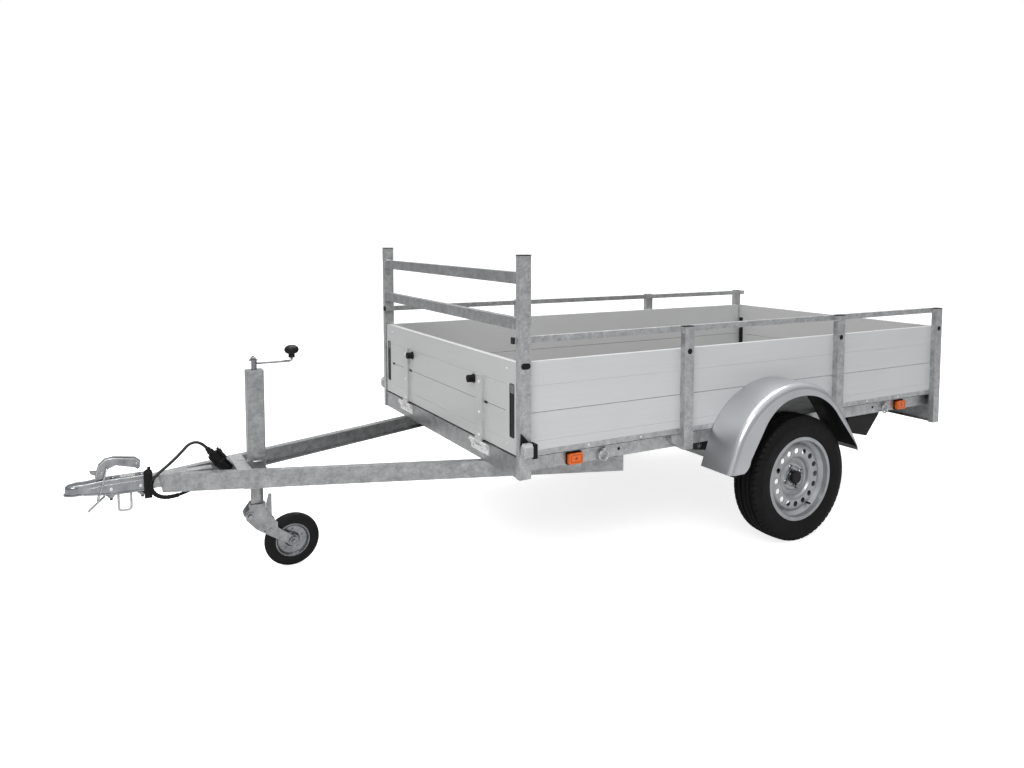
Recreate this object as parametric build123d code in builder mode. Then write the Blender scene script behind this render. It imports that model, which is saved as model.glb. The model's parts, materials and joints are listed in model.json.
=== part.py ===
"""Single-axle unbraked utility trailer with a galvanised frame, aluminium side boards,
fold-down front and rear gates, a front rack and a jockey wheel.

Frame: +X to the rear, +Y to the trailer's right, +Z up. The origin is the centre of the
footprint, on the ground. All sizes are in millimetres.
"""
import os
from math import atan2, cos, hypot, pi, radians, sin, tan

from build123d import *

os.makedirs("parts", exist_ok=True)

# ---------------------------------------------------------------- driving dimensions
HALF_LENGTH = 2060            # from the centre of the footprint to the coupling's nose
NOSE_TO_BODY = 1500           # coupling's nose to the front posts
BODY_LENGTH = 2600            # over the front and rear posts
BODY_WIDTH = 1610             # over the posts
FRONT = NOSE_TO_BODY - HALF_LENGTH
REAR = FRONT + BODY_LENGTH
HALF_WIDTH = BODY_WIDTH / 2

POST_LONG = 50                # post section along X
POST_WIDE = 30                # post section along Y
POST_WALL = 2.5
POST_IN = HALF_WIDTH - POST_WIDE   # inner face of every post
RACK_TOP = 1335               # top of the two tall front posts
STAKE_TOP = 1020              # top of the other posts
CAP_THICK = 4

FLOOR_TOP = 573
FLOOR_THICK = 12
FLOOR_BOTTOM = FLOOR_TOP - FLOOR_THICK
BOARD_TOP = 923
BOARD_THICK = 25
PLANK_JOINT = 722             # height of the joint between lower and upper plank
JOINT_GAP = 2
GROOVES = (607, 827)          # shallow lines drawn along the planks
GROOVE_DEPTH = 1.5
SHEET = 3                     # folded steel sheet
RAIL_BOTTOM = 485
RAIL_WEB = 745                # outer face of the side rail's web
RAIL_FLANGE = 20
RAIL_SETBACK = 38             # rails, floor and boards stop short of the gates

BEAM_TOP = 473                # drawbar beams, folded C channels
BEAM_HIGH = 70
BEAM_BOTTOM = BEAM_TOP - BEAM_HIGH
BEAM_FLANGE = 36
BEAM_SHEET = 4
BEAM_FRONT = (-1658, 58)      # x and |y| of a point of the outer web near its front
BEAM_REAR = (-5, 705)         # and at its rear end
BEAM_ANGLE = atan2(BEAM_REAR[1] - BEAM_FRONT[1], BEAM_REAR[0] - BEAM_FRONT[0])

GATE_INSET = 7                # gate face behind the posts' outer face
GATE_BOTTOM = 559
GATE_HALF = 769
GATE_END = 100                # width of the end profile that holds a latch
GATE_CLEAR = 6
HINGE_OUT = 8                 # hinge axis in front of the posts' face
HINGE_Z = 545
STRAP_Y = 446                 # |y| of the hinge straps
STRAP_WIDE = 62
STRAP_TOP = 832
KNUCKLE_LONG = 52
BUFFER_Y = 373
BUFFER_Z = 803
FRAME_TOP = 552               # top of the front and rear cross members

WHEEL_X = 838
WHEEL_R = 293.75
WHEEL_Y = 858                 # |y| of the wheel's centre plane
TYRE_HALF = 80
RIM_FLANGE_R = 195
BEAD_R = 178
BEAD_FOOT = BEAD_R + 5        # where the tyre's bead starts

JACK_X = -1374
JACK_TUBE = 66
JACK_TOP = 850
JACK_INNER_R = 25
JOCKEY_X = -1237
JOCKEY_R = 112.85
JOCKEY_HALF = 20

CABLE_D = 12


def save(piece, node):
    """Label a finished piece and write it as its own file."""
    piece.part.label = node
    export_step(piece.part, f"parts/{node}.step")


def side_name(side):
    return "left" if side < 0 else "right"


def beam_y(x):
    """|y| of a drawbar beam's outer web at x."""
    return BEAM_FRONT[1] + (x - BEAM_FRONT[0]) * tan(BEAM_ANGLE)


def wheel_plane(side, x=WHEEL_X, z=WHEEL_R, y=WHEEL_Y):
    """Plane through a wheel's axis: local x runs outward along it, local y is up."""
    return Plane(origin=(x, side * y, z), x_dir=(0, side, 0), z_dir=(side, 0, 0))


def x_section(points, x0, x1, wall=SHEET):
    """Folded sheet with one cross-section, given as its middle line, along X."""
    with BuildPart() as folded:
        with BuildSketch(Plane.YZ.offset(x0)):
            with BuildLine():
                Polyline(*points)
            trace(line_width=wall)
        extrude(amount=x1 - x0)
    return folded.part


def y_section(points, half, wall=SHEET):
    """Folded sheet with one cross-section in X and Z, from -half to half along Y."""
    with BuildPart() as folded:
        with BuildSketch(Plane.XZ):
            with BuildLine():
                Polyline(*points)
            trace(line_width=wall)
        extrude(amount=half, both=True)
    return folded.part


# ---------------------------------------------------------------- chassis
# Side rails: a strip flush with the boards, a shelf under them and a set-back web.
def rail_line(side):
    """Middle line of a side rail's section, in Y and Z."""
    half = SHEET / 2
    return [
        (side * (POST_IN - half), 547),
        (side * (POST_IN - half), FLOOR_TOP - half),
        (side * (RAIL_WEB - half), FLOOR_TOP - half),
        (side * (RAIL_WEB - half), RAIL_BOTTOM + half),
        (side * (RAIL_WEB - RAIL_FLANGE), RAIL_BOTTOM + half),
    ]


with BuildPart() as side_rails:
    for side in (-1, 1):
        add(x_section(rail_line(side), FRONT + RAIL_SETBACK, REAR - RAIL_SETBACK))
save(side_rails, "side_rails")

# Cross members under the floor: x of the web and underside. The front ones sit on the drawbar.
CROSS_MEMBERS = (
    (FRONT + 60, BEAM_TOP),
    (FRONT + 480, BEAM_TOP),
    (FRONT + 830, RAIL_BOTTOM + SHEET),
    (FRONT + 1250, RAIL_BOTTOM + SHEET),
    (FRONT + 1790, RAIL_BOTTOM + SHEET),
    (FRONT + 2200, RAIL_BOTTOM + SHEET),
    (REAR - 100, RAIL_BOTTOM + SHEET),
)
CROSS_FLANGE = 40
CROSS_HALF = RAIL_WEB - SHEET
with BuildPart() as cross_members:
    for web_x, bottom in CROSS_MEMBERS:
        low = bottom + SHEET / 2
        high = FLOOR_BOTTOM - SHEET / 2
        line = [
            (web_x + CROSS_FLANGE, low),
            (web_x, low),
            (web_x, high),
            (web_x + CROSS_FLANGE, high),
        ]
        add(y_section(line, CROSS_HALF))
        if bottom < RAIL_BOTTOM:
            notch_high = RAIL_BOTTOM + SHEET - bottom
            for side in (-1, 1):
                with Locations((web_x + CROSS_FLANGE / 2, side * CROSS_HALF, bottom + notch_high / 2)):
                    Box(2 * CROSS_FLANGE, 2 * (RAIL_FLANGE - SHEET), notch_high, mode=Mode.SUBTRACT)
save(cross_members, "cross_members")


END_FLANGE = 28


def end_member(face, inward, bottom, top):
    """Cross member between the end posts: web near their outer face, flanges inward."""
    web = face + inward * (GATE_INSET - SHEET / 2)
    low = bottom + SHEET / 2
    high = top - SHEET / 2
    tip = web + inward * END_FLANGE
    return y_section([(tip, low), (web, low), (web, high), (tip, high)], POST_IN)


LIGHT_BAR = (394, 482)        # underside and top of the bar that carries the lamps
with BuildPart() as front_cross_member:
    add(end_member(FRONT, 1, BEAM_TOP, FRAME_TOP))
save(front_cross_member, "front_cross_member")

with BuildPart() as rear_frame:
    add(end_member(REAR, -1, RAIL_BOTTOM, FRAME_TOP))
    add(end_member(REAR, -1, *LIGHT_BAR))
save(rear_frame, "rear_frame")

with BuildPart() as floor:
    with Locations(((FRONT + REAR) / 2, 0, FLOOR_BOTTOM + FLOOR_THICK / 2)):
        Box(BODY_LENGTH - 2 * RAIL_SETBACK, 2 * CROSS_HALF, FLOOR_THICK)
save(floor, "floor")


# ---------------------------------------------------------------- drawbar
NOSE_HALF = 25                # square tube between the beams' front ends
NOSE_BOTTOM = 424
BEAM_CUT_TOP_X, BEAM_CUT_LOW_X = -1742, -1726   # the beam's front end leans forward at the top


def drawbar_beam(side):
    """One leg of the V: a C channel, open towards the other leg, cut at both ends."""
    start_x, end_x = BEAM_CUT_TOP_X - 40, BEAM_REAR[0] + 60
    middle = BEAM_TOP - BEAM_HIGH / 2
    along = (cos(BEAM_ANGLE), side * sin(BEAM_ANGLE), 0)
    inward = (sin(BEAM_ANGLE), -side * cos(BEAM_ANGLE), 0)
    section = Plane(origin=(start_x, side * beam_y(start_x), middle), x_dir=inward, z_dir=along)
    web = BEAM_SHEET / 2
    leg = BEAM_HIGH / 2 - BEAM_SHEET / 2
    with BuildPart() as beam:
        with BuildSketch(section):
            with BuildLine():
                Polyline((BEAM_FLANGE, leg), (web, leg), (web, -leg), (BEAM_FLANGE, -leg))
            trace(line_width=BEAM_SHEET)
        extrude(amount=(end_x - start_x) / cos(BEAM_ANGLE))
        lean = BEAM_CUT_TOP_X - BEAM_CUT_LOW_X
        front_cut = Plane(origin=(BEAM_CUT_LOW_X, 0, BEAM_BOTTOM), z_dir=(BEAM_HIGH, 0, -lean))
        split(bisect_by=front_cut, keep=Keep.TOP)
        rear_cut = Plane(origin=(BEAM_REAR[0], 0, 0), z_dir=(1, 0, 0))
        split(bisect_by=rear_cut, keep=Keep.BOTTOM)
        with Locations((BEAM_CUT_LOW_X, 0, middle)):
            Box(400, 2 * NOSE_HALF, 2 * BEAM_HIGH, mode=Mode.SUBTRACT)
    return beam


for side in (-1, 1):
    save(drawbar_beam(side), f"drawbar_{side_name(side)}")

PLATE_THICK = 4
CROSS_STRAP = (-1466, -1414)  # flat bar across both beams in front of the jack
LOWER_PLATE = (-1445, -1310)  # plate under both beams that holds the jack's tube
NOSE_FRONT, NOSE_REAR = -1860, -1545
SOCKET_PLATE = ((-1491, 502), (-1489, 504))   # far end of the sloping plate that the socket is fixed to
SOCKET_PLATE_HALF = 30


def between_beams(front, rear, setback):
    """Corners of a plate that spans the V from x = front to x = rear."""
    front_half = beam_y(front) - setback
    rear_half = beam_y(rear) - 2 * setback
    return [(front, -front_half), (rear, -rear_half), (rear, rear_half), (front, front_half)]


# Square nose tube, and the bars and plates that join the beams and hold the jack and the socket
with BuildPart() as nose_frame:
    for ends, low in ((CROSS_STRAP, BEAM_TOP), (LOWER_PLATE, BEAM_BOTTOM - PLATE_THICK)):
        with BuildSketch(Plane.XY.offset(low)):
            with BuildLine():
                Polyline(*between_beams(*ends, 6), close=True)
            make_face()
            with Locations((JACK_X, 0)):
                Rectangle(JACK_TUBE, JACK_TUBE, mode=Mode.SUBTRACT)
        extrude(amount=PLATE_THICK)
    with BuildSketch(Plane.XZ):
        with BuildLine():
            Polyline((CROSS_STRAP[0] + 2, BEAM_TOP), *SOCKET_PLATE, (CROSS_STRAP[0] + 2, BEAM_TOP + PLATE_THICK),
                     close=True)
        make_face()
    extrude(amount=SOCKET_PLATE_HALF, both=True)
    nose_long = NOSE_REAR - NOSE_FRONT
    nose_high = BEAM_TOP - NOSE_BOTTOM
    with Locations(((NOSE_FRONT + NOSE_REAR) / 2, 0, (NOSE_BOTTOM + BEAM_TOP) / 2)):
        Box(nose_long, 2 * NOSE_HALF, nose_high)
        Box(nose_long, 2 * NOSE_HALF - 8, nose_high - 8, mode=Mode.SUBTRACT)
save(nose_frame, "nose_frame")

# ---------------------------------------------------------------- ball coupling
BALL_X, BALL_Z = -2020, 444
SOCKET_R = 25.5
DOME_R = 31
LIP_R = 36
HEAD_HALF = 28.5
HEAD_REAR = -1777
LIP_OUT = 4
with BuildPart() as coupling_head:
    with BuildSketch(Plane.XZ):
        with BuildLine():
            Polyline((HEAD_REAR, 421), (HEAD_REAR, 482), (-1930, 480), (-1985, 474),
                     (BALL_X, 474), (BALL_X, 437), (-1940, 427), (-1900, 421), close=True)
        make_face()
    extrude(amount=HEAD_HALF, both=True)
    with BuildSketch(Plane.XY.offset(BALL_Z - 8)):
        with Locations((BALL_X, 0)):
            Circle(LIP_R)
    extrude(amount=5)
    with BuildSketch(Plane.XZ):
        with BuildLine():
            Polyline((BALL_X, 474), (BALL_X, BALL_Z - 8), (BALL_X + DOME_R, BALL_Z - 8),
                     (BALL_X + DOME_R, 462))
            RadiusArc((BALL_X + DOME_R, 462), (BALL_X + DOME_R - 12, 474), -12)
            Line((BALL_X + DOME_R - 12, 474), (BALL_X, 474))
        make_face()
    revolve(axis=Axis((BALL_X, 0, 0), (0, 0, 1)))
    # channel that takes the nose tube, and the ball socket open below
    with Locations(((HEAD_REAR - 1985) / 2, 0, (415 + BEAM_TOP) / 2)):
        Box(HEAD_REAR + 1985, 2 * NOSE_HALF + 1, BEAM_TOP - 415, mode=Mode.SUBTRACT)
    with Locations((BALL_X, 0, BALL_Z)):
        Sphere(SOCKET_R, mode=Mode.SUBTRACT)
    with Locations((BALL_X, 0, BALL_Z - 20)):
        Cylinder(SOCKET_R, 40, mode=Mode.SUBTRACT)
    # turned-out lips along the lower edges of the pressing
    with BuildSketch(Plane.XZ):
        with BuildLine():
            Polyline((HEAD_REAR, 421), (-1900, 421), (-1940, 427), (BALL_X + 30, 433),
                     (BALL_X + 30, 439), (-1940, 433), (-1900, 427), (HEAD_REAR, 427), close=True)
        make_face()
    extrude(amount=HEAD_HALF + LIP_OUT, both=True)
    with Locations(((HEAD_REAR - 1985) / 2, 0, (415 + BEAM_TOP) / 2)):
        Box(HEAD_REAR + 1985, 2 * NOSE_HALF + 1, BEAM_TOP - 415, mode=Mode.SUBTRACT)
    with Locations((BALL_X, 0, BALL_Z - 20)):
        Cylinder(SOCKET_R, 40, mode=Mode.SUBTRACT)
save(coupling_head, "coupling_head")

# Lifting handle over the coupling: a folded channel, open below, bent up and back to a hook.
HANDLE_OUTLINE = ((-1950, 485), (-1940, 535), (-1918, 556), (-1890, 560), (-1817, 549), (-1799, 533),
                  (-1801, 512), (-1810, 505), (-1819, 513), (-1883, 530), (-1907, 520), (-1917, 508),
                  (-1926, 485))
HANDLE_HALF = 16
HANDLE_WALL = 3
with BuildPart() as coupling_handle:
    with BuildSketch(Plane.XZ):
        with BuildLine():
            Polyline(*HANDLE_OUTLINE, close=True)
        make_face()
    extrude(amount=HANDLE_HALF, both=True)
    with BuildSketch(Plane.XZ):
        with BuildLine():
            Polyline(*((x + 1, z - HANDLE_WALL - 1) for x, z in HANDLE_OUTLINE), close=True)
        make_face()
    extrude(amount=HANDLE_HALF - HANDLE_WALL, both=True, mode=Mode.SUBTRACT)
    with Locations((-1862, 0, 556)):
        Box(60, 9, 30, mode=Mode.SUBTRACT)
    # thumb catch in front of the handle
    with BuildSketch(Plane.XZ):
        with BuildLine():
            Polyline((-1970, 516), (-1967, 506), (-1944, 496), (-1940, 512), (-1952, 515), close=True)
        make_face()
    extrude(amount=9, both=True)
save(coupling_handle, "coupling_handle")

# Wire bail round the head with the flat tongue that it carries below
BAIL_R = 2.5
BAIL_HALF = HEAD_HALF + LIP_OUT + BAIL_R + 1
BAIL_TOP, BAIL_LOW = (-1914, 524), (-1946, 396)
TONGUE = ((-1978, 362), (-1922, 413))
with BuildPart() as coupling_bail:
    corners = [
        (BAIL_TOP[0], -HANDLE_HALF - 0.3, BAIL_TOP[1]),
        (BAIL_TOP[0], -BAIL_HALF, BAIL_TOP[1]),
        (BAIL_LOW[0], -BAIL_HALF, BAIL_LOW[1]),
        (BAIL_LOW[0], BAIL_HALF, BAIL_LOW[1]),
        (BAIL_TOP[0], BAIL_HALF, BAIL_TOP[1]),
        (BAIL_TOP[0], HANDLE_HALF + 0.3, BAIL_TOP[1]),
    ]
    with BuildLine():
        FilletPolyline(*corners, radius=6)
    with BuildSketch(Plane(origin=corners[0], z_dir=(0, -1, 0))):
        Circle(BAIL_R)
    sweep()
    with BuildSketch(Plane.XZ):
        with BuildLine():
            Polyline(*TONGUE)
        trace(line_width=3)
    extrude(amount=13, both=True)
save(coupling_bail, "coupling_bail")

# U-shaped safety loop of round rod under the coupling
LOOP_ROD = 4.5
LOOP_FRONT, LOOP_REAR, LOOP_BOTTOM = -1877, -1834, 347
with BuildPart() as safety_loop:
    with BuildLine():
        FilletPolyline((LOOP_FRONT, 0, NOSE_BOTTOM), (LOOP_FRONT, 0, LOOP_BOTTOM),
                       (LOOP_REAR, 0, LOOP_BOTTOM), (LOOP_REAR, 0, NOSE_BOTTOM), radius=12)
    with BuildSketch(Plane(origin=(LOOP_FRONT, 0, NOSE_BOTTOM), z_dir=(0, 0, -1))):
        Circle(LOOP_ROD)
    sweep()
save(safety_loop, "safety_loop")


# ---------------------------------------------------------------- posts, rack and rails
def hollow_post(x0, side, bottom, top):
    """Rectangular tube standing outside the boards."""
    with BuildPart() as post:
        with BuildSketch(Plane.XY.offset(bottom)):
            with Locations((x0 + POST_LONG / 2, side * (HALF_WIDTH - POST_WIDE / 2))):
                Rectangle(POST_LONG, POST_WIDE)
                Rectangle(POST_LONG - 2 * POST_WALL, POST_WIDE - 2 * POST_WALL, mode=Mode.SUBTRACT)
        extrude(amount=top - bottom)
    return post.part


# Posts of one side: front face, underside, top
POSTS = (
    (FRONT, BEAM_TOP - 1, RACK_TOP),
    (FRONT + 805, 482, STAKE_TOP),
    (FRONT + 1770, 549, STAKE_TOP),
    (REAR - POST_LONG, 394, STAKE_TOP),
)
BRACKET_X = POSTS[1][0]       # this post is tied to the rail's web by a bracket
for side in (-1, 1):
    with BuildPart() as posts:
        for x0, bottom, top in POSTS:
            add(hollow_post(x0, side, bottom, top))
        with BuildSketch(Plane.XZ.offset(-side * RAIL_WEB)):
            with BuildLine():
                Polyline((BRACKET_X - 45, 545), (BRACKET_X + POST_LONG, 545), (BRACKET_X + POST_LONG, 484),
                         (BRACKET_X, 484), (BRACKET_X - 45, 515), close=True)
            make_face()
        extrude(amount=-side * (POST_IN - RAIL_WEB))
    save(posts, f"posts_{side_name(side)}")

RACK_BARS = (1272, 1096)      # top of each bar
RACK_BAR_HIGH = 45
RACK_BAR_DEEP = 30
with BuildPart() as rack_bars:
    for top in RACK_BARS:
        with Locations((FRONT + 5 + RACK_BAR_DEEP / 2, 0, top - RACK_BAR_HIGH / 2)):
            Box(RACK_BAR_DEEP, 2 * POST_IN, RACK_BAR_HIGH)
            Box(RACK_BAR_DEEP - 5, 2 * POST_IN, RACK_BAR_HIGH - 5, mode=Mode.SUBTRACT)
save(rack_bars, "rack_bars")

RAIL_TUBE = 25
RAIL_TUBE_TOP = 1022
RAIL_TUBE_Z = RAIL_TUBE_TOP - RAIL_TUBE / 2
RAIL_TUBE_Y = POST_IN - RAIL_TUBE / 2
RAIL_OVER = 4                 # how far the rail stands out past the end posts
with BuildPart() as top_rails:
    with BuildSketch(Plane.YZ.offset(FRONT - RAIL_OVER)):
        for side in (-1, 1):
            with Locations((side * RAIL_TUBE_Y, RAIL_TUBE_Z)):
                Rectangle(RAIL_TUBE, RAIL_TUBE)
                Rectangle(RAIL_TUBE - 4, RAIL_TUBE - 4, mode=Mode.SUBTRACT)
    extrude(amount=BODY_LENGTH + 2 * RAIL_OVER)
save(top_rails, "top_rails")

# Black plastic caps on posts and rails
with BuildPart() as tube_caps:
    for side in (-1, 1):
        for x0, bottom, top in POSTS:
            with Locations((x0 + POST_LONG / 2, side * (HALF_WIDTH - POST_WIDE / 2), top + CAP_THICK / 2)):
                Box(POST_LONG, POST_WIDE, CAP_THICK)
        for end, out in ((FRONT - RAIL_OVER, -1), (REAR + RAIL_OVER, 1)):
            with Locations((end + out * 3, side * RAIL_TUBE_Y, RAIL_TUBE_Z)):
                Box(6, RAIL_TUBE, RAIL_TUBE)
save(tube_caps, "tube_caps")

# ---------------------------------------------------------------- side boards
def plank_profile(outer, inner, bottom, top, groove):
    """Plank section with one shallow line along its outer face."""
    away = 1 if inner > outer else -1
    return [
        (outer, bottom),
        (outer, groove - 1.5),
        (outer + away * GROOVE_DEPTH, groove),
        (outer, groove + 1.5),
        (outer, top),
        (inner, top),
        (inner, bottom),
    ]


PLANKS = (
    (FLOOR_TOP, PLANK_JOINT - JOINT_GAP / 2, GROOVES[0]),
    (PLANK_JOINT + JOINT_GAP / 2, BOARD_TOP, GROOVES[1]),
)
BOARD_END = GATE_INSET + BOARD_THICK + GATE_CLEAR
for side in (-1, 1):
    with BuildPart() as boards:
        for bottom, top, groove in PLANKS:
            with BuildSketch(Plane.YZ.offset(FRONT + BOARD_END)):
                with BuildLine():
                    Polyline(*plank_profile(side * POST_IN, side * (POST_IN - BOARD_THICK),
                                            bottom, top, groove), close=True)
                make_face()
            extrude(amount=BODY_LENGTH - 2 * BOARD_END)
    save(boards, f"side_boards_{side_name(side)}")


# ---------------------------------------------------------------- gates
SLOT = (624, 835)             # latch slot, low and high
SLOT_WIDE = 38
SLOT_OUT = 22                 # from the gate's end to the slot


def gate(prefix, face, out):
    """Fold-down gate at one end of the body. out is -1 at the front and 1 at the rear."""
    outer = face - out * GATE_INSET
    inner = outer - out * BOARD_THICK
    middle = (outer + inner) / 2
    plank_half = GATE_HALF - GATE_END
    with BuildPart() as boards:
        for bottom, top, groove in PLANKS:
            low = max(bottom, GATE_BOTTOM) if bottom > FLOOR_TOP else GATE_BOTTOM
            with BuildSketch(Plane.XZ):
                with BuildLine():
                    Polyline(*plank_profile(outer, inner, low, top, groove), close=True)
                make_face()
            extrude(amount=plank_half, both=True)
    save(boards, f"{prefix}_boards")

    slot_y = GATE_HALF - SLOT_OUT - SLOT_WIDE / 2
    with BuildPart() as ends:
        for side in (-1, 1):
            with Locations((middle, side * (GATE_HALF - GATE_END / 2), (GATE_BOTTOM + BOARD_TOP) / 2)):
                Box(BOARD_THICK, GATE_END, BOARD_TOP - GATE_BOTTOM)
            with Locations((middle, side * slot_y, sum(SLOT) / 2)):
                Box(BOARD_THICK, SLOT_WIDE, SLOT[1] - SLOT[0], mode=Mode.SUBTRACT)
    save(ends, f"{prefix}_ends")

    with BuildPart() as latches:
        for side in (-1, 1):
            with Locations((middle - out * 4, side * slot_y, sum(SLOT) / 2)):
                Box(BOARD_THICK - 8, SLOT_WIDE, SLOT[1] - SLOT[0])
            with Locations((outer - out * 6, side * slot_y, SLOT[1] - 22)):
                Box(8, SLOT_WIDE - 8, 34)
    save(latches, f"{prefix}_latches")

    strap_out = face + out * 5
    knuckle_r = 8
    axis_x = face + out * HINGE_OUT
    with BuildPart() as straps:
        for side in (-1, 1):
            with Locations(((strap_out + outer) / 2, side * STRAP_Y, (GATE_BOTTOM + STRAP_TOP) / 2)):
                Box(abs(strap_out - outer), STRAP_WIDE, STRAP_TOP - GATE_BOTTOM)
            with Locations(((axis_x + strap_out) / 2, side * STRAP_Y, (HINGE_Z + GATE_BOTTOM) / 2 + 4)):
                Box(abs(axis_x - strap_out) + 6, STRAP_WIDE - 2, GATE_BOTTOM - HINGE_Z + 8)
            with Locations(Location((axis_x, side * STRAP_Y, HINGE_Z), (90, 0, 0))):
                Cylinder(knuckle_r, STRAP_WIDE - 2)
    save(straps, f"{prefix}_straps")

    # fixed knuckles either side of each strap, on a leaf screwed to the cross member
    leaf_face = face - out * (GATE_INSET - SHEET)
    with BuildPart() as hinges:
        for side in (-1, 1):
            for step in (-1, 1):
                knuckle_y = side * STRAP_Y + step * (STRAP_WIDE / 2 + 1 + KNUCKLE_LONG / 2)
                with Locations(Location((axis_x, knuckle_y, HINGE_Z), (90, 0, 0))):
                    Cylinder(knuckle_r, KNUCKLE_LONG)
                with Locations(((axis_x + leaf_face) / 2, knuckle_y, HINGE_Z - 8)):
                    Box(abs(axis_x - leaf_face), KNUCKLE_LONG, 16)
            with Locations((leaf_face + out * 3, side * STRAP_Y, HINGE_Z - 28)):
                Box(6, STRAP_WIDE + 2 + 2 * KNUCKLE_LONG, 24)
    save(hinges, f"{prefix}_hinges")


gate("front_gate", FRONT, -1)
gate("rear_gate", REAR, 1)

BUFFER_R = 16
BUFFER_LONG = 30
with BuildPart() as gate_buffers:
    for side in (-1, 1):
        with Locations(Location((FRONT + GATE_INSET - BUFFER_LONG / 2, side * BUFFER_Y, BUFFER_Z), (0, 90, 0))):
            Cylinder(BUFFER_R, BUFFER_LONG)
save(gate_buffers, "front_gate_buffers")


# ---------------------------------------------------------------- mudguards
GUARD_IN = POST_IN + 2
GUARD_OUT = 970
GUARD_WALL = 4
GUARD_EDGE_R = 28
GUARD_LOW = 388
GUARD_FLAP = ((366, GUARD_LOW), (411, 507))     # the straight front flap, from its lower edge up
GUARD_ENDS = ((500, 640), (700, 744), (880, 737), (1040, 632), (1194, 408))     # of the arcs after it


def guard_form(side, inset):
    """Solid of the mudguard's outer form, or set in by a wall, with its outer edge rounded."""
    flap_low, flap_top = GUARD_FLAP
    flap_lean = (flap_top[0] - flap_low[0]) / (flap_top[1] - flap_low[1])
    low = GUARD_LOW - 2 * inset
    front = flap_low[0] - 2 * inset * flap_lean
    with BuildPart() as form:
        with BuildSketch(Plane.XZ.offset(-side * GUARD_IN)):
            with BuildLine():
                edge = Line((front, low), flap_top)
                for end in GUARD_ENDS:
                    edge = TangentArc(edge @ 1, end, tangent=edge % 1)
                Polyline(GUARD_ENDS[-1], (GUARD_ENDS[-1][0], low), (front, low))
            make_face()
            if inset:
                offset(amount=-inset, kind=Kind.INTERSECTION)
        extrude(amount=-side * (GUARD_OUT - inset - GUARD_IN))
        outside = form.faces().sort_by(Axis.Y)[-1 if side > 0 else 0]
        rounded = outside.edges().filter_by(lambda e: e.center().Z > GUARD_LOW + 2)
        fillet(rounded, GUARD_EDGE_R - inset)
    return form.part


def mudguard(side):
    """Moulded mudguard: a wide band over the wheel with a skirt outside, open inside."""
    with BuildPart() as guard:
        add(guard_form(side, 0))
        add(guard_form(side, GUARD_WALL), mode=Mode.SUBTRACT)
        with BuildSketch(Plane.XZ.offset(-side * (GUARD_OUT - 45))):
            with BuildLine():
                # wheel opening: rounded off at the front flap, then up, over and down to the rear
                under = GUARD_LOW - 5
                ThreePointArc((430, under), (464, 400), (484, 440))
                Line((484, 440), (562, 566))
                ThreePointArc((562, 566), (619, 634), (704, 681))
                ThreePointArc((704, 681), (811, 693), (893, 680))
                ThreePointArc((893, 680), (968, 642), (1038, 573))
                Polyline((1038, 573), (1120, 476), (1174, 412), (1176, under), (430, under))
            make_face()
        extrude(amount=-side * 60, mode=Mode.SUBTRACT)
    return guard


for side in (-1, 1):
    save(mudguard(side), f"mudguard_{side_name(side)}")

# ---------------------------------------------------------------- axle
AXLE_X, AXLE_Z = WHEEL_X - 150, 340
AXLE_TUBE = 60
AXLE_HALF = 694
BRACKET_WALL = 6
with BuildPart() as axle_tube:
    with Locations((AXLE_X, 0, AXLE_Z)):
        Box(AXLE_TUBE, 2 * AXLE_HALF, AXLE_TUBE)
        Box(AXLE_TUBE - 8, 2 * AXLE_HALF, AXLE_TUBE - 8, mode=Mode.SUBTRACT)
save(axle_tube, "axle_tube")

with BuildPart() as axle_brackets:
    for side in (-1, 1):
        with BuildSketch(Plane.XZ.offset(-side * AXLE_HALF)):
            with BuildLine():
                Polyline((AXLE_X - 300, RAIL_BOTTOM), (AXLE_X + 200, RAIL_BOTTOM), (AXLE_X + 200, 455),
                         (AXLE_X + 50, 400), (AXLE_X + 50, AXLE_Z - 42), (AXLE_X - 50, AXLE_Z - 42),
                         (AXLE_X - 50, 400), (AXLE_X - 300, 440), close=True)
            make_face()
        extrude(amount=-side * BRACKET_WALL)
        with Locations((AXLE_X - 50, side * (AXLE_HALF + 20), RAIL_BOTTOM - 3)):
            Box(500, 40, 6)
save(axle_brackets, "axle_brackets")

ARM_IN = AXLE_HALF + BRACKET_WALL
ARM_THICK = 24
ARM_OUT = ARM_IN + ARM_THICK
STUB_R = 17
with BuildPart() as swing_arms:
    for side in (-1, 1):
        with BuildSketch(Plane.XZ.offset(-side * ARM_IN)):
            with Locations((AXLE_X, AXLE_Z)):
                Circle(40)
            with Locations((WHEEL_X, WHEEL_R)):
                Circle(30)
            make_hull()
        extrude(amount=-side * ARM_THICK)
        with BuildSketch(Plane.XZ.offset(-side * ARM_OUT)):
            with Locations((WHEEL_X, WHEEL_R)):
                Circle(STUB_R)
        extrude(amount=-side * (WHEEL_Y + 14 - ARM_OUT))
save(swing_arms, "swing_arms")


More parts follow.
